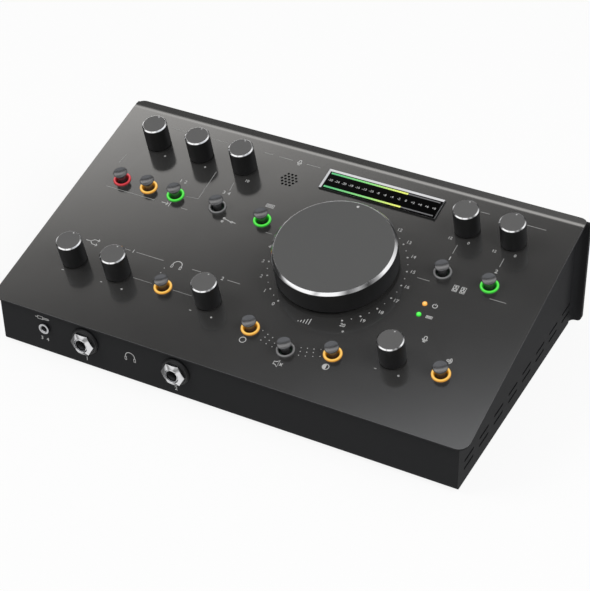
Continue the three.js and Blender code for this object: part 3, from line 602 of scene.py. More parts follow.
def makeCover():
    corners = [cover["frontCorner"], cover["frontCorner"], cover["rearCorner"], cover["rearCorner"]]
    rim = roundedOutline(Vector((-halfPlate, 0)), Vector((halfPlate, patternLength)), corners)
    holes = [insetCorners(*deckBox("meter_bezel"), cover["meterFrame"])]
    for size, names in (("potHole", [*knobNames, "volume_knob"]), ("ringHole", buttonNames),
                        ("lightHole", ["power_light", "usb_light"])):
        holes += [circle(places[name].xy, cover[size], cover["holeSides"]) for name in names]
    flat = filledSheet("coverPattern", [rim, *holes], cover["sheet"], cover["edge"])
    flat.transform(Matrix.Translation((0, 0, -cover["sheet"] / 2 * mm)))
    grille = hexagonGrid(places["talkback_mic"], cover["grillePitch"], cover["grilleRings"])
    drills = bpy.data.objects.new("grillePlaces", pointMesh("grillePlaces", grille))
    flat = runTree(flat, drilledHoles, "coverPaint", {
        "Places": drills, "Radius": cover["grilleHole"] * mm, "Depth": cover["drillDepth"] * mm,
        "Sides": cover["grilleSides"]})
    bpy.data.objects.remove(drills)
    bm = bmesh.new()
    bm.from_mesh(flat)
    bmesh.ops.remove_doubles(bm, verts=bm.verts, dist=weld)
    bends = [bendStart + bendLength * i / cover["bendSteps"] for i in range(cover["bendSteps"] + 1)]
    for y in (bends[0] - cover["bendMargin"], *bends, bends[-1] + cover["bendMargin"]):
        bmesh.ops.bisect_plane(bm, geom=[*bm.verts, *bm.edges, *bm.faces],
                               plane_co=(0, y * mm, 0), plane_no=(0, 1, 0), dist=weld)
    for vertex in bm.verts:
        vertex.co = bentOverLip(vertex.co / mm) * mm
    mesh = written(bm, "cover")
    mesh.transform(deck)
    keepPiece("cover", smoothed(mesh, cover["sharpAngle"]), ["coverPaint", "trayPaint"], "top_cover")
    # faces turned away from the plate's normal (its edges, hole walls and underside) take the dark tray paint: a
    # painted shade along the plate's edges
    for face in mesh.polygons:
        face.material_index = 1 if face.normal.dot(plateNormal) < cover["paintedShadeFacing"] else 0


makeCover()
print("stage: cover made")


# tray, rear panel and the boards

bevelledCopy("base_tray", "tray", "trayPaint", 0, dissolve=0.05)
bevelledCopy("rear_panel", "back_panel", "panelPaint")
bevelledCopy("socket_board", "rear_sockets", "socketPlastic", 0.25)
bevelledCopy("power_rocker", "rocker", "knobPlastic", 0.4, 3)
for number in (1, 2):
    bevelledCopy(f"combo_socket_{number}", f"combo_{number}", "socketPlastic")
for node, look in {"control_board": "circuitGreen", "talkback_mic": "micCloth",
                   "volume_shaft": "shaftSteel"}.items():
    nodes[node].data.materials.clear()
    nodes[node].data.materials.append(materials[look])
print("stage: case made")


# small knobs

knob = {"foot": 1.0, "hollow": 1.2, "wall": 1.8, "chamfer": 0.7, "recess": 0.06, "footBevel": 0.3,
        "groove": 0.2, "edgeSegments": 4, "steps": 96, "shaft": 3.0, "shaftSunk": 0.2, "dotRadius": 0.48,
        "dotInset": 1.1, "dotDrop": 0.02, "dotDepth": 0.3, "dotBevel": 0.08, "dotSteps": 24}


def pointerDot(name, place, reach, high, look, node):
    # the painted dot on a knob's disc, close to its edge
    base, top, radius = high - look["dotDepth"], high - look["dotDrop"], look["dotRadius"]
    profile = rounded([(0, base), (radius, base), (radius, top, look["dotBevel"]), (0, top)])
    turnedPiece(name, profile, onDeck(place.x, place.y + reach - look["dotInset"]), "dotPaint", node,
                "knob_disc", look["dotSteps"])


def makeKnob(name):
    low, high = deckBox(name)
    place = places[name]
    spot = onDeck(place.x, place.y)
    radius = (high.x - low.x) / 2
    foot, rim = knob["foot"], high.z - knob["chamfer"]
    hollow, bore, neck = foot + knob["hollow"], radius - knob["wall"], radius - knob["groove"]
    profile = rounded([
        (0, hollow), (bore, hollow), (bore, foot), (radius, foot, knob["footBevel"]),
        (radius, rim - knob["groove"], 0.1), (neck, rim - knob["groove"]), (neck, rim), (0, rim)])
    turnedPiece(name + "_body", profile, spot, "knobPlastic", name, steps=knob["steps"])
    flatRadius, recess = radius - knob["chamfer"], high.z - knob["recess"]
    disc = [(0, rim), (radius, rim), (radius, rim + 0.06), (flatRadius, high.z),
            (flatRadius - 0.08, high.z), (flatRadius - 0.12, recess), (0, recess)]
    turnedPiece(name + "_disc", disc, spot, ["turnedEdge", "knobDisc"], name, "knob_disc", knob["steps"],
                knob["edgeSegments"], 25)
    pointerDot(name + "_dot", place, flatRadius, high.z, knob, name)
    end = hollow + knob["shaftSunk"]
    shaft = [(0, low.z), (knob["shaft"], low.z), (knob["shaft"], end), (0, end)]
    turnedPiece(name + "_shaft", shaft, spot, "shaftSteel", name, "shaft_steel", 32)


for name in knobNames:
    makeKnob(name)
print("stage: small knobs made")


# volume knob

volume = {"foot": 2.2, "chamfer": 1.6, "cap": 1.75, "edge": 0.6, "edgeSegments": 8, "steps": 192,
          "groove": 0.3, "well": 34.5, "wellTop": 6, "dotRadius": 0.9, "dotInset": 4.6, "dotDrop": 0.01,
          "dotDepth": 0.3, "dotBevel": 0.1, "dotSteps": 32}


def makeVolume():
    low, high = deckBox("volume_cap")
    place = places["volume_knob"]
    spot = onDeck(place.x, place.y)
    radius = (high.x - low.x) / 2
    rim, foot = high.z - volume["cap"], volume["foot"]
    neck = radius - volume["groove"]
    body = rounded([
        (0, volume["wellTop"]), (volume["well"], volume["wellTop"]), (volume["well"], foot + 0.4, 0.3),
        (radius - 1.4, foot, 0.3), (radius - 0.15, foot, volume["edge"]), (radius, rim - 0.3, 0.15),
        (neck, rim - 0.3), (neck, rim), (0, rim)])
    turnedPiece("volume_body", body, spot, "knobPlastic", "volume_knob", steps=volume["steps"])
    flatRadius, edge, flat = radius - volume["chamfer"], high.z - volume["chamfer"], high.z - 0.05
    disc = [(0, rim), (radius - 0.1, rim), (radius, rim + 0.1), (radius, edge), (radius - 0.06, edge + 0.08),
            (flatRadius + 0.06, flat), (flatRadius, high.z), (flatRadius - 0.15, high.z),
            (flatRadius - 0.2, flat), (0, flat)]
    turnedPiece("volume_disc", disc, spot, ["turnedEdge", "satinDisc"], "volume_cap", None, volume["steps"],
                volume["edgeSegments"], 25)
    pointerDot("volume_dot", place, radius, high.z, volume, "volume_cap")


makeVolume()
print("stage: volume knob made")


# push buttons and their light rings

button = {"headHeight": 2.5, "side": 1.0, "flare": 0.55, "dish": 0.5, "dishSteps": 7, "neck": 2.9,
          "neckFoot": -1, "stem": 1.6, "rim": 0.35, "steps": 64}
ring = {"bore": 3.9, "barrel": 4.7, "flange": 0.6, "rise": 0.95, "bead": 0.5, "rim": 1.2, "slope": 0.6,
        "crestInset": 0.75, "fade": 1.25, "fadePower": 1.3, "outside": 0.55, "outsideReach": 0.825,
        "darkBelow": 0.72, "steps": 96}
ringLamps = {"lamp_red": "redLamp", "lamp_amber": "amberLamp", "lamp_green": "greenLamp",
             "lamp_grey": "greyLamp"}


def makeButton(name):
    low, high = deckBox(name + "_button")
    place = places[name]
    headRadius = (high.x - low.x) / 2 + button["flare"]
    dishRadius = headRadius - button["rim"]
    profile = rounded([
        (0, low.z), (button["stem"], low.z, 0.2), (button["stem"], button["neckFoot"]),
        (button["neck"], button["neckFoot"]), (button["neck"], high.z - button["headHeight"], 0.4),
        (headRadius - 0.1, high.z - button["side"], 0.3), (headRadius, high.z - 0.25, 0.15),
        (dishRadius, high.z)])
    for step in range(1, button["dishSteps"] + 1):
        share = 1 - step / button["dishSteps"]
        profile.append(Vector((dishRadius * share, high.z - button["dish"] * (1 - share ** 2))))
    turnedPiece(name + "_cap", profile, onDeck(place.x, place.y), "buttonSatin", name + "_button",
                steps=button["steps"], angle=40)


def makeRing(name):
    low, high = deckBox(name + "_ring")
    place = places[name]
    radius = (high.x - low.x) / 2 + ring["flange"]
    top = ring["rise"]
    bore, barrel = ring["bore"], ring["barrel"]
    profile = rounded([
        (bore, low.z), (barrel, low.z), (barrel, 0), (radius, 0, 0.1), (radius, top, ring["bead"]),
        (radius - ring["rim"], top, 0.3), (bore + 0.1, top - ring["slope"], 0.05), (bore, low.z)])
    mesh = toMesh(turned(profile, ring["steps"]), name + "_light", None, 50)
    crest = radius - ring["crestInset"]

    # painted glow and shade: brightest along the crest and fading away from it; on the outer wall below the bead a
    # dimmer painted level near the crest, and dark further off
    def shine(point):
        away = abs(math.hypot(point.x, point.y) / mm - crest)
        if point.z / mm < top - ring["darkBelow"]:
            return ring["outside"] if away < ring["outsideReach"] else 0.0
        return max(0.0, 1.0 - (away / ring["fade"]) ** ring["fadePower"])

    paintLit(mesh, shine)
    mesh.transform(onDeck(place.x, place.y))
    keepPiece(name + "_light", mesh, ringLamps[slotOf[name + "_ring"]], name + "_ring")


for name in buttonNames:
    makeButton(name)
    makeRing(name)
print("stage: buttons made")


# indicator lights

indicator = {"radius": 1.5, "shoulder": 0.35, "crownShare": 0.55, "crown": 0.06, "crownRounding": 1.2,
             "edgeDim": 0.6, "steps": 32}


def makeIndicator(node, look):
    low, high = deckBox(node)
    place = places[node]
    radius = indicator["radius"]
    profile = rounded([
        (0, low.z), (radius, low.z), (radius, high.z - indicator["shoulder"], 0.3),
        (radius * indicator["crownShare"], high.z - indicator["crown"], indicator["crownRounding"]),
        (0, high.z)], 6)
    mesh = toMesh(turned(profile, indicator["steps"]), node + "_lens", None, 60)
    # a painted glow: the lens is brightest in its middle and painted dimmer towards its edge
    paintLit(mesh, lambda point: 1.0 - indicator["edgeDim"] * math.hypot(point.x, point.y) / mm / radius)
    mesh.transform(onDeck(place.x, place.y))
    keepPiece(node + "_lens", mesh, look, node)


makeIndicator("power_light", "amberDot")
makeIndicator("usb_light", "greenDot")
print("stage: indicators made")


# meter: frame, smoked window, two bars of lit segments and their scale

meter = {"barInset": 1.0, "barRows": (0.085, 0.905), "segments": 48, "segmentGap": 0.10, "barWidth": 1.35,
         "unlitWidth": 0.95, "litSegments": 34, "proud": 0.03, "numberSize": 1.75, "scaleInset": 2,
         "frameLevels": [(0, 0), (0, 0.9), (0.06, 1), (0.14, 1), (1.2, 0.02), (1.2, 0)], "brightLevel": 3,
         "numbers": (-30, -24, -20, -18, -16, -12, -10, -8, -6, -4, -2, 0, 2, 4, 6, 8)}


def block(size):
    bm = bmesh.new()
    bmesh.ops.create_cube(bm, size=1)
    bmesh.ops.scale(bm, vec=size, verts=bm.verts)
    bmesh.ops.bevel(bm, geom=[*bm.edges], offset=min(size) * 0.3, segments=1, affect="EDGES")
    return toMesh(bm, "block")


def makeMeterFrame():
    # a frame whose inner side slopes down to the window, mitred at its corners
    low, high = deckBox("meter_bezel")
    bm = bmesh.new()
    rings = []
    for inset, height in meter["frameLevels"]:
        z = low.z + height * (high.z - low.z)
        rings.append([bm.verts.new((x, y, z)) for x, y in insetCorners(low, high, inset)])
    for level, (one, two) in enumerate(zip(rings, rings[1:] + rings[:1])):
        for i in range(4):
            face = bm.faces.new((one[i], one[(i + 1) % 4], two[(i + 1) % 4], two[i]))
            face.material_index = 1 if level == meter["brightLevel"] else 0
    mesh = toMesh(bm, "meter_frame", deck, 20)
    keepPiece("meter_frame", mesh, ["collarPlastic", "frameMetal"], "meter_bezel")


def makeMeter():
    makeMeterFrame()
    bevelledCopy("meter_window", "meter_glass", "smokedGlass", 0.15)
    low, high = deckBox("meter_window")
    left = low.x + meter["barInset"]
    length = high.x - low.x - 2 * meter["barInset"]
    pitch = length / meter["segments"]
    lit, unlit = range(meter["litSegments"]), range(meter["litSegments"], meter["segments"])
    for name, look, width, which in (("lit", "meterBars", meter["barWidth"], lit),
                                     ("unlit", "unlitBar", meter["unlitWidth"], unlit)):
        points = [(left + (i + 0.5) * pitch, low.y + share * (high.y - low.y), high.z + meter["proud"] / 2)
                  for share in meter["barRows"] for i in which]
        shares = [i / meter["segments"] for i in which] * len(meter["barRows"])
        segment = block((pitch - meter["segmentGap"], width, meter["proud"] * 2))
        mesh = repeated(segment, points, (0, 0, 0), look, lit=shares)
        mesh.transform(deck)
        keepPiece("meter_bars_" + name, mesh, None, slot="smoked_lens")
    numbers = meter["numbers"]
    step = (length - 2 * meter["scaleInset"]) / (len(numbers) - 1)
    labels = [(f"{number:+d}" if number else "0", left + meter["scaleInset"] + i * step,
               (low.y + high.y) / 2, meter["numberSize"]) for i, number in enumerate(numbers)]
    keepPiece("meter_scale", inkText("meter_scale", labels, onDeck(0, 0, high.z)), "scalePrint")


# printing: strokes, dots and plain numbers, a fine layer of ink on the paint

ink = {"line": 0.42, "stroke": 0.5, "height": 0.06, "textHeight": 0.03, "textScale": 1.38, "textBold": 0.02,
       "dotSides": 20}


def inkText(name, labels, place):
    # numbers given as (text, x, y, size), raised a little over the surface of the given place
    bm = bmesh.new()
    for body, x, y, size in labels:
        curve = bpy.data.curves.new(name, "FONT")
        curve.body = body
        curve.size = size * ink["textScale"]
        curve.align_x = "CENTER"
        curve.align_y = "CENTER"
        curve.extrude = ink["textHeight"]
        curve.offset = ink["textBold"] * size
        curve.resolution_u = 3
        mesh = finalMesh(placed(name, curve))
        mesh.transform(Matrix.Translation((x, y, 0)))
        bm.from_mesh(mesh)
        bpy.data.curves.remove(curve)
    return toMesh(bm, name, place, 30)


def inked(name, mesh, tree, look, place, values):
    mesh = runTree(mesh, tree, look, {"Height": ink["height"] * mm, **values})
    mesh.transform(place)
    keepPiece(name, smoothed(mesh), None)


def inkLines(name, lines, width, look, place):
    # every line is a list of (x, y) points; a line that ends where it starts is closed
    vertices, edges = [], []
    for line in lines:
        first = len(vertices)
        closed = len(line) > 2 and math.dist(line[0], line[-1]) < tiny
        points = line[:-1] if closed else line
        vertices += [Vector((x, y, 0)) * mm for x, y in points]
        edges += [(first + i, first + i + 1) for i in range(len(points) - 1)]
        if closed:
            edges.append((len(vertices) - 1, first))
    mesh = bpy.data.meshes.new(name)
    mesh.from_pydata(vertices, edges, [])
    inked(name, mesh, inkStrokes, look, place, {"Width": width * mm})


def inkSpots(name, spots, look, place):
    mesh = pointMesh(name, [(x, y, 0) for x, y, _ in spots], size=[radius * mm for _, _, radius in spots])
    inked(name, mesh, inkDots, look, place, {"Sides": ink["dotSides"]})


def arc(x, y, radius, start, end, steps=14):
    return arcPoints((x, y), radius, math.radians(start), math.radians(end), steps)


def oval(x, y, radius):
    return arc(x, y, radius, 0, 360, 20)


def box(left, low, right, high):
    return [(left, low), (right, low), (right, high), (left, high), (left, low)]


def chord(x, radius):
    half = math.sqrt(radius ** 2 - x ** 2)
    return [(x, -half), (x, half)]


symbols = {
    "microphone": [arc(0, 0.45, 0.38, 0, 180, 8) + arc(0, -0.05, 0.38, 180, 360, 8) + [(0.38, 0.45)],
                   arc(0, 0.0, 0.75, 190, 350, 12), [(0, -0.75), (0, -1.1)], [(-0.4, -1.1), (0.4, -1.1)]],
    "headphones": [arc(0, -0.1, 0.95, -12, 192, 20), box(-1.1, -0.95, -0.75, -0.3),
                   box(0.75, -0.95, 1.1, -0.3)],
    "speakerOff": [[(-0.9, -0.35), (-0.4, -0.35), (0.15, -0.85), (0.15, 0.85), (-0.4, 0.35), (-0.9, 0.35),
                    (-0.9, -0.35)], [(0.45, -0.35), (1.05, 0.35)], [(0.45, 0.35), (1.05, -0.35)]],
    "power": [arc(0, 0, 0.85, 120, 420, 18), [(0, 0.2), (0, 1.1)]],
    "arrowIn": [[(-1.4, 0), (0.5, 0)], [(0.0, 0.5), (0.5, 0), (0.0, -0.5)], [(0.9, 0.75), (0.9, -0.75)]],
    "plug": [box(-1.5, -0.35, -0.3, 0.35), [(-0.3, 0.16), (1.0, 0.16), (1.3, 0), (1.0, -0.16), (-0.3, -0.16)],
             [(-2.1, 0), (-1.5, 0)]],
    "bars": [[(-1.2 + i * 0.6, -0.8), (-1.2 + i * 0.6, -0.5 + i * 0.33)] for i in range(5)],
    "plus": [[(-0.6, 0), (0.6, 0)], [(0, -0.6), (0, 0.6)]],
    "minus": [[(-0.6, 0), (0.6, 0)]],
    "port": [box(-1.1, -0.5, 1.1, 0.5), box(-0.7, -0.15, 0.7, 0.2)],
    "oneRing": [oval(0, 0, 0.8)],
    "halfRing": [oval(0, 0, 0.8), *(chord(x, 0.8) for x in (-0.6, -0.4, -0.2, 0))],
    "cabinets": [box(-1.5, -0.9, -0.4, 0.9), oval(-0.95, -0.3, 0.35), oval(-0.95, 0.5, 0.15),
                 box(0.4, -0.9, 1.5, 0.9), oval(0.95, -0.3, 0.35), oval(0.95, 0.5, 0.15)],
    "switch": [oval(-1.3, 0.5, 0.22), oval(-1.3, -0.5, 0.22), [(-1.08, 0.42), (0.6, 0.0)],
               oval(0.85, 0, 0.22), [(1.1, 0), (1.9, 0)]],
    "split": [[(-1.4, 0), (-0.4, 0), (0.2, 0.55), (1.3, 0.55)], [(-0.4, 0), (0.2, -0.55), (1.3, -0.55)],
              [(0.95, 0.85), (1.3, 0.55), (0.95, 0.25)], [(0.95, -0.25), (1.3, -0.55), (0.95, -0.85)]],
    "listen": [oval(0, 0, 0.28), arc(0, 0, 0.62, -60, 60, 8), arc(0, 0, 0.98, -60, 60, 10)],
}


def drawn(symbol, x, y, size):
    return [[(x + px * size, y + py * size) for px, py in line] for line in symbols[symbol]]


# lines on the cover, in mm across and up the plate
coverLines = [
    [(-124.3, 168.5), (-114.8, 168.6)], [(-94.8, 168.7), (-82.4, 168.8)], [(-55.1, 169.1), (-49, 169.2)],
    [(-44.5, 169.1), (-34.5, 169.1)], [(-24.3, 169), (-14.6, 169)], [(96.6, 169), (102.4, 169)],
    [(127.1, 168.5), (139.6, 168.5)], [(-77, 143.1), (-76.6, 117.9), (-84.8, 116.9)],
    [(-61.6, 138.6), (-60.7, 131.2)], [(-142.5, 128.4), (-141.5, 136.6)], [(-139.6, 107.2), (-102.9, 107.2)],
    [(-83.3, 107), (-78.6, 107)], [(-22, 107.3), (-17.7, 107.3)], [(-99.8, 64), (-95.8, 64)],
    [(-91.5, 64), (-71.5, 64)], [(-51.1, 64), (-44.8, 64)], [(-26.1, 64), (-17.2, 64)],
    [(-82.6, 45), (-69.3, 45)], [(-54.2, 45), (-40.8, 45)], [(81.8, 106.7), (89.9, 106.7)],
    [(128.8, 106.7), (139.3, 106.7)], [(94, 138.9), (94, 131.5)], [(124.6, 138.6), (124.6, 131.5)]]
# symbols on the cover: name, across, up, half size
coverSymbols = [
    ("microphone", -29.3, 169, 2.1), ("arrowIn", -94.2, 107.3, 2.6), ("switch", -49, 107.4, 2.8),
    ("headphones", -61.5, 64, 3.2), ("split", -122.7, 62, 3.4), ("port", -29.8, 128.2, 2.4),
    ("bars", 32.8, 52.7, 2.9), ("plus", 58, 53, 1.3), ("oneRing", 4.8, 26, 2.5),
    ("speakerOff", 32.7, 17.6, 2.9), ("halfRing", 60.2, 25.7, 2.5), ("minus", 87.8, 35, 1.2),
    ("plus", 102.6, 35, 1.2), ("cabinets", 109.2, 106.9, 2.6), ("listen", 124.7, 55.5, 2.4),
    ("power", 101, 90, 1.7), ("port", 101.2, 81, 1.7), ("microphone", 105.8, 65.4, 2.2),
    ("minus", -100.1, 34.9, 1.2), ("minus", -36.2, 34.8, 1.2), ("plus", -84.8, 34.3, 1.2),
    ("plus", -21.3, 34.3, 1.2), ("plus", -116.2, 144, 1.2), ("plus", -86.1, 144.2, 1.2),
    ("minus", -128.5, 34.9, 1.2)]
# plain numbers on the cover: text, across, up, height
coverNumbers = [
    ("1", -93.6, 64, 2.6), ("2", -29.6, 64, 2.6), ("1", 94, 127.5, 2.9), ("2", 124.3, 127.5, 2.9),
    ("1", -95, 128, 2.6), ("2", -91.5, 128, 2.6), ("3", -63.4, 128.6, 2.6), ("4", -59.9, 128.6, 2.6),
    ("10", -54.1, 142.5, 2.2), ("12", 87.5, 142.7, 2.1), ("0", 99.7, 142.5, 2.1), ("12", 116.7, 142.1, 2.1),
    ("0", 130, 142.8, 2.1)]
buttonDots = [
    (13, 36.6), (17.1, 35), (21, 33.9), (24.9, 32.8), (16.5, 32.5), (20, 31.3), (24, 30.5), (15.2, 29.7),
    (19.4, 28.4), (23.8, 27.6), (40.4, 33.2), (44.1, 34.1), (48, 35), (52, 36.2), (41.1, 30.5), (45, 31.4),
    (48.8, 32.5), (41.4, 27.6), (45.5, 28.5), (49.7, 29.8), (53.7, 31.4), (-68.1, 58.7), (-68.3, 54.7)]
dial = {"radius": 43.0, "numberRadius": 46.6, "sweep": 300, "steps": 20, "dot": 0.62, "smallDot": 0.36,
        "numberSize": 2.5, "buttonDot": 0.33}


def printed(name, marks, spots, numbers, place):
    strokes = [line for symbol, x, y, size in marks for line in drawn(symbol, x, y, size)]
    inkLines(name + "_symbols", strokes, ink["stroke"], "platePrint", place)
    if spots:
        inkSpots(name + "_dots", spots, "platePrint", place)
    keepPiece(name + "_numbers", inkText(name + "_numbers", numbers, place), "platePrint")


def printCover():
    plate = onDeck(0, 0)
    inkLines("print_lines", coverLines, ink["line"], "linePrint", plate)
    centre = places["volume_knob"]
    spots = [(x, y, dial["buttonDot"]) for x, y in buttonDots]
    numbers = [*coverNumbers]
    for i in range(2 * dial["steps"] + 1):
        angle = math.radians(90 + dial["sweep"] / 2 - dial["sweep"] * i / (2 * dial["steps"]))
        x, y = centre.xy + Vector(polar(angle, dial["radius"]))
        spots.append((x, y, dial["smallDot"] if i % 2 else dial["dot"]))
        if i % 2 == 0:
            x, y = centre.xy + Vector(polar(angle, dial["numberRadius"]))
            numbers.append((str(i // 2), x, y, dial["numberSize"]))
    printed("print", coverSymbols, spots, numbers, plate)


# the front wall's own frame: X across, Y up, Z out of the wall
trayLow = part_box("base_tray")[0]
frontWall = Matrix.Translation((0, trayLow.y, trayLow.z)) @ Matrix((
    (1, 0, 0, 0), (0, 0, -1, 0), (0, 1, 0, 0), (0, 0, 0, 1)))
frontSymbols = [("plug", -123.3, 26.4, 3.0), ("headphones", -61.4, 18.9, 3.4)]
frontNumbers = [("3", -126.2, 10.5, 2.6), ("4", -122, 10.5, 2.6), ("1", -93.5, 5.8, 2.8),
                ("2", -29.7, 5.8, 2.8)]


printCover()
printed("print_front", frontSymbols, [], frontNumbers, frontWall)
print("stage: printing made")
makeMeter()
print("stage: meter made")


# front jacks: collars, chamfered nuts, sleeves and the small jack's ring

jack = {"acrossFlats": 14.2, "bush": 4.6, "bore": 3.7, "setBack": 1.5, "bodyBack": 0.8, "sleeve": 3,
        "chromeSegments": 5, "collarInset": 1.0, "ringRadius": 3.7, "ringDepth": 1.5, "smallBodyBack": 1.2}
hexNut = {"slope": 0.45, "bevel": 0.45, "bevelDrop": 0.3, "steps": 96}
wallFace = trayLow.y / mm


def onWall(box):
    # the spot on the front wall where a node's middle stands
    middle = middleOf(box)
    return frontWall @ at(middle.x, middle.z - trayLow.z / mm)


def hexagonNut(acrossFlats, bore, low, high):
    # a hexagon with a flat side up, broken edges, and a face that falls away from its bore
    flat = acrossFlats / 2

    def section(angle):
        reach = hexagonReach(flat, angle)
        inner = reach * (1 - hexNut["bevel"] / flat)
        fall = (inner - bore) * hexNut["slope"]
        return [(bore, low), (reach, low), (reach, high - fall - hexNut["bevelDrop"]), (inner, high - fall),
                (bore + 0.25, high), (bore, high - 0.2)]

    return sweptRound(section, hexNut["steps"], True)


def socketBody(node, name, front):
    # a socket's own body, held back behind the mouth of its sleeve or ring
    body = bevelledCopy(node, name, "socketPlastic", 0.12)
    for vertex in body.data.vertices:
        vertex.co.y = max(vertex.co.y, (wallFace - front) * mm)


def makePhonesJack(number):
    jackNode, collarNode, nutNode = (f"phones_{part}_{number}" for part in ("jack", "collar", "nut"))
    low, high = caseBox(collarNode)
    spot = onWall((low, high))
    back, front = wallFace - high.y, wallFace - low.y
    outer, inner = (high.x - low.x) / 2 - jack["collarInset"], jack["bush"] + 0.3
    profile = rounded([
        (inner, back), (outer, back), (outer, back + 0.6, 0.3), (outer - 0.7, front - 0.8, 0.3),
        (outer - 1.2, front - 0.5, 0.15), (outer - 1.5, front - 0.6, 0.15), (outer - 1.9, front - 0.05, 0.3),
        (inner, front - 0.05), (inner, back)], 4)
    turnedPiece(collarNode + "_ring", profile, spot, "collarPlastic", collarNode, steps=96)
    low, high = caseBox(nutNode)
    nut = hexagonNut(jack["acrossFlats"], jack["bush"] + 0.1, wallFace - high.y,
                     wallFace - low.y - jack["setBack"] / 2)
    keepPiece(nutNode + "_hex", toMesh(nut, "nut", spot, 20), "chromePlate", nutNode)
    front = wallFace - caseBox(jackNode)[0].y - jack["setBack"]
    back, bore, bush = front - jack["sleeve"], jack["bore"], jack["bush"]
    profile = [(bore, back), (bush, back), (bush, front - 0.5), (bush - 0.1, front - 0.4),
               (bore + 0.05, front), (bore, front - 0.1), (bore, back)]
    turnedPiece(jackNode + "_sleeve", profile, spot, ["chromePlate", "socketPlastic"], jackNode, "chrome",
                split=jack["chromeSegments"], angle=50)
    socketBody(jackNode, jackNode + "_body", front - jack["bodyBack"])


def makeStereoJack():
    low, high = caseBox("stereo_in_jack")
    front = wallFace - low.y
    foot, outer = front - jack["ringDepth"], jack["ringRadius"]
    profile = rounded([
        (1.8, foot), (outer, foot), (outer, front - 0.1, 0.15), (outer - 0.2, front, 0.1),
        (outer - 1.2, front, 0.1), (1.9, front - 0.5, 0.1), (1.8, front - 1.1), (1.8, foot)], 4)
    turnedPiece("stereo_in_ring", profile, onWall((low, high)), "brightMetal", "stereo_in_jack",
                "bright_metal", angle=40)
    socketBody("stereo_in_jack", "stereo_in_body", front - jack["smallBodyBack"])


makePhonesJack(1)
makePhonesJack(2)
makeStereoJack()
print("stage: front jacks made")


# rear hardware, screws and feet

rear = {"nutFlats": 12.6, "nutHeight": 2.4, "nutBore": 4.7, "washer": 7.6, "washerHeight": 0.5,
        "lineSockets": 6, "screwHead": 2.6, "screwHeight": 1.1, "recess": 1.05, "recessDepth": 0.6,
        "panelScrews": [(-156, 8), (-156, 70), (156, 8), (156, 70), (-60, 70), (60, 70)],
        "comboScrews": [(-9.6, 12), (9.6, -12)],
        "underScrews": [(-150, -60), (150, -60), (-150, 60), (150, 60), (0, -70), (0, 70)],
        "footRecess": 3.6, "footRecessDepth": 1.2, "screwSteps": 24}
openings = {item["name"]: item["box_m"] for item in record["physics"]["openings"]}
facingBack = (-math.pi / 2, 0, 0)
facingDown = (math.pi, 0, 0)


def screwHead():
    # a round pan head with a hexagon recess
    radius, top = rear["screwHead"], rear["screwHeight"]

    def section(angle):
        hexagon = hexagonReach(rear["recess"], angle)
        return [(radius, 0), (radius, top * 0.45), (radius * 0.86, top * 0.85), (radius * 0.6, top),
                (hexagon, top), (hexagon, top - rear["recessDepth"])]

    return toMesh(sweptRound(section, rear["screwSteps"], False), "screw", None, 25)


def makeRearHardware():
    panelFace = caseBox("rear_panel")[1].y
    sockets = []
    for number in range(1, rear["lineSockets"] + 1):
        low, high = openings[f"line_socket_{number}_bore"]
        sockets.append(((low[0] + high[0]) / 2 / mm, panelFace, (low[2] + high[2]) / 2 / mm))
    bore, outer, height = rear["nutBore"], rear["washer"], rear["washerHeight"]
    washer = rounded([(bore, 0), (outer, 0), (outer, height, 0.15), (bore, height), (bore, 0)], 3)
    washer = toMesh(turned(washer, 48), "washer")
    nut = toMesh(hexagonNut(rear["nutFlats"], bore, height, rear["nutHeight"]), "lineNut", None, 20)
    keepPiece("line_washers", repeated(washer, sockets, facingBack, "shaftSteel"), None, slot="chrome")
    keepPiece("line_nuts", repeated(nut, sockets, facingBack, "chromePlate"), None, slot="chrome")
    screws = [(x, panelFace, z) for x, z in rear["panelScrews"]]
    for number in (1, 2):
        low, high = caseBox(f"combo_socket_{number}")
        middle = middleOf((low, high))
        screws += [(middle.x + x, high.y, middle.z + z) for x, z in rear["comboScrews"]]
    screws = repeated(screwHead(), screws, facingBack, "screwBlack")
    keepPiece("rear_screws", screws, None, slot="panel_paint")
    screws = [(x, y, trayLow.z / mm) for x, y in rear["underScrews"]]
    screws = repeated(screwHead(), screws, facingDown, "screwBlack")
    keepPiece("under_screws", screws, None, slot="tray_paint")


def makeFoot(node):
    low, high = caseBox(node)
    middle = middleOf((low, high))
    radius, inner, recess = (high.x - low.x) / 2, rear["footRecess"], low.z + rear["footRecessDepth"]
    profile = rounded([
        (0, recess), (inner, recess, 0.2), (inner + 0.3, low.z, 0.2), (radius - 0.8, low.z, 0.6),
        (radius - 0.1, high.z - 0.4, 0.3), (radius - 0.4, high.z), (0, high.z)], 4)
    turnedPiece(node + "_pad", profile, at(middle.x, middle.y), "rubberFoot", node)


makeRearHardware()
for end in ("front", "rear"):
    for side in ("left", "right"):
        makeFoot(f"foot_{end}_{side}")
print("stage: rear hardware and feet made")


# floor, light and camera

stageLook = {"size": 6, "white": 1.0, "bare": 0.8, "plain": 0.9, "mirrored": 0.08}


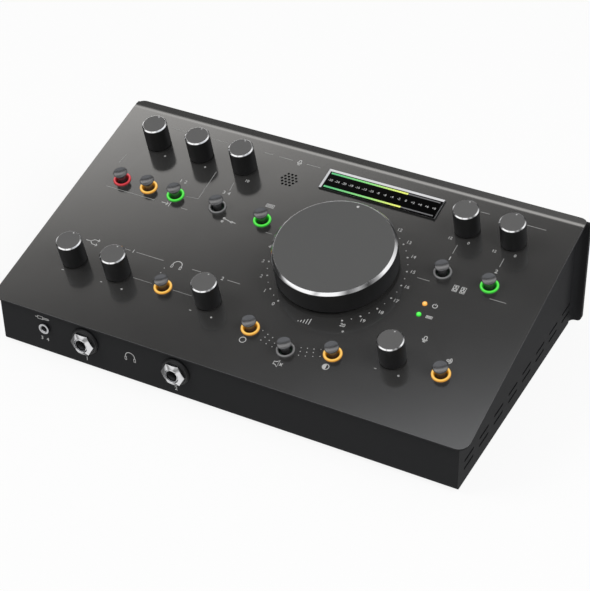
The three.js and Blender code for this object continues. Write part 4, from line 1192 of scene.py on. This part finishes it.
def makeFloor():
    bm = bmesh.new()
    bmesh.ops.create_grid(bm, x_segments=1, y_segments=1, size=stageLook["size"] / 2)
    floor = placed("floor", written(bm, "floor"))
    material = bpy.data.materials.new("floorWhite")
    material.use_nodes = True
    tree = material.node_tree
    tree.nodes.clear()
    rays = addNode(tree, "ShaderNodeLightPath").outputs
    bare = addNode(tree, "ShaderNodeBsdfDiffuse", {"Color": (*[stageLook["bare"]] * 3, 1)})
    white = addNode(tree, "ShaderNodeEmission", {"Color": (1, 1, 1, 1), "Strength": stageLook["white"]})
    clear = addNode(tree, "ShaderNodeBsdfTransparent")
    seen = addNode(tree, "ShaderNodeMath", {0: rays["Is Camera Ray"], 1: rays["Is Transmission Ray"]},
                   operation="MAXIMUM")
    share = addNode(tree, "ShaderNodeMath", {0: seen, 1: stageLook["plain"]}, operation="MULTIPLY")
    plain = addNode(tree, "ShaderNodeMixShader", {"Fac": share, 1: bare, 2: white})
    glossy = addNode(tree, "ShaderNodeMixShader", {"Fac": stageLook["mirrored"], 1: clear, 2: white})
    mix = addNode(tree, "ShaderNodeMixShader", {"Fac": rays["Is Glossy Ray"], 1: plain, 2: glossy})
    addNode(tree, "ShaderNodeOutputMaterial", {"Surface": mix})
    floor.data.materials.append(material)


# What glossy surfaces mirror: overhead a sky that is dark along one line and brighter to both sides of it,
# and round the object a ring of softly lit panels, each a bearing in degrees and a brightness
sky = {"across": (-0.418, 0.769, -0.484), "darkLine": -0.018, "dark": 0.02, "ambient": 0.45,
       "warm": {"light": 2.25, "reach": 0.14, "power": 2.3, "tint": (1, 0.99, 0.975)},
       "cool": {"light": 0.95, "reach": -0.087, "power": 2.6, "tint": (0.96, 0.99, 1.04)},
       "overhead": (0.60, 0.74), "panelLight": 1.12, "horizon": 0.08, "horizonBand": (0.03, 0.16),
       "horizonLight": 0.35,
       "panels": [(0, 0.35), (14, 0.95), (40, 0.85), (60, 0.5), (72, 0.08), (100, 0.1), (108, 0.34),
                  (117, 0.12), (128, 0.18), (145, 0.85), (158, 0.6), (168, 0.08), (200, 0.08), (216, 1),
                  (255, 1), (261, 0.5), (268, 1), (292, 0.95), (307, 0.15), (325, 0.4), (341, 0.04),
                  (360, 0.35)]}


def makeSky():
    world = bpy.data.worlds.new("softSky")
    bpy.context.scene.world = world
    world.use_nodes = True
    world.cycles.sampling_method = "NONE"
    tree = world.node_tree
    tree.nodes.clear()
    way = addNode(tree, "ShaderNodeTexCoord").outputs["Generated"]

    def number(operation, *values):
        return addNode(tree, "ShaderNodeMath", dict(enumerate(values)), operation=operation)

    def vector(operation, values):
        return addNode(tree, "ShaderNodeVectorMath", values, operation=operation)

    def along(direction):
        return vector("DOT_PRODUCT", {0: way, 1: direction}).outputs["Value"]

    def ramp(value, start, end, low=0.0, high=1.0, kind="SMOOTHSTEP"):
        return addNode(tree, "ShaderNodeMapRange", {
            "Value": value, "From Min": start, "From Max": end, "To Min": low, "To Max": high},
            interpolation_type=kind)

    def glow(side):
        # the light to one side of the dark line
        share = ramp(across, sky["darkLine"], sky["darkLine"] + side["reach"], kind="LINEAR")
        return vector("SCALE", {
            0: Vector(side["tint"]) * side["light"], "Scale": number("POWER", share, side["power"])})

    def background(color, strength):
        return addNode(tree, "ShaderNodeBackground", {"Color": color, "Strength": strength})

    across, up = along(sky["across"]), along((0, 0, 1))
    glows = vector("ADD", {0: glow(sky["warm"]), 1: glow(sky["cool"])})
    overhead = vector("ADD", {0: glows, 1: (sky["dark"],) * 3})
    bearing = number("ARCTAN2", along((0, 1, 0)), along((1, 0, 0)))
    turn = number("FRACT", number("MULTIPLY", bearing, 1 / (2 * math.pi)))
    panels = colorRamp(tree, turn, [(degrees / 360, (light,) * 3) for degrees, light in sky["panels"]])
    away = number("ABSOLUTE", number("SUBTRACT", up, sky["horizon"]))
    level = ramp(away, *sky["horizonBand"], sky["horizonLight"], sky["panelLight"])
    around = vector("SCALE", {0: panels, "Scale": level})
    mirrored = addNode(tree, "ShaderNodeMix", {"Factor": ramp(up, *sky["overhead"]), 4: around, 5: overhead},
                       data_type="VECTOR").outputs[1]
    white = (1, 1, 1, 1)
    rays = addNode(tree, "ShaderNodeLightPath").outputs
    lighting = addNode(tree, "ShaderNodeMixShader", {
        "Fac": rays["Is Glossy Ray"], 1: background(white, sky["ambient"]), 2: background(mirrored, 1.0)})
    seen = addNode(tree, "ShaderNodeMixShader", {
        "Fac": rays["Is Camera Ray"], 1: lighting, 2: background(white, 1.0)})
    addNode(tree, "ShaderNodeOutputWorld", {"Surface": seen})


lampSettings = {
    "keyLamp": {"place": (1.6, -0.3, 1.5), "size": 1.2, "watts": 26},
    "leftLamp": {"place": (-1.5, -0.9, 1.7), "size": 1.2, "watts": 22},
}


def makeLamps():
    for name, look in lampSettings.items():
        data = bpy.data.lights.new(name, "AREA")
        data.shape = "SQUARE"
        data.size = look["size"]
        data.energy = look["watts"]
        lamp = placed(name, data)
        lamp.location = look["place"]
        lamp.rotation_euler = (-Vector(look["place"])).to_track_quat("-Z", "Y").to_euler()
        lamp.visible_glossy = False


view = {"place": (0.4375, -0.79098, 0.7113), "azimuth": 28.68, "elevation": 37.06, "roll": -1.25,
        "lens": 110.69, "sensor": 36}


def makeCamera():
    azimuth, elevation, roll = (math.radians(view[key]) for key in ("azimuth", "elevation", "roll"))
    back = Vector((math.sin(azimuth) * math.cos(elevation), -math.cos(azimuth) * math.cos(elevation),
                   math.sin(elevation)))
    right = Vector((math.cos(azimuth), math.sin(azimuth), 0))
    up = back.cross(right)
    right, up = (math.cos(roll) * right + math.sin(roll) * up, math.cos(roll) * up - math.sin(roll) * right)
    data = bpy.data.cameras.new("photoView")
    data.lens = view["lens"]
    data.sensor_width = view["sensor"]
    camera = placed("photoView", data)
    camera.matrix_world = Matrix.Translation(view["place"]) @ Matrix((right, up, back)).transposed().to_4x4()
    bpy.context.scene.camera = camera


makeFloor()
makeSky()
makeLamps()
makeCamera()
bpy.context.scene.view_settings.view_transform = "Standard"
print("stage: floor, light and camera made")
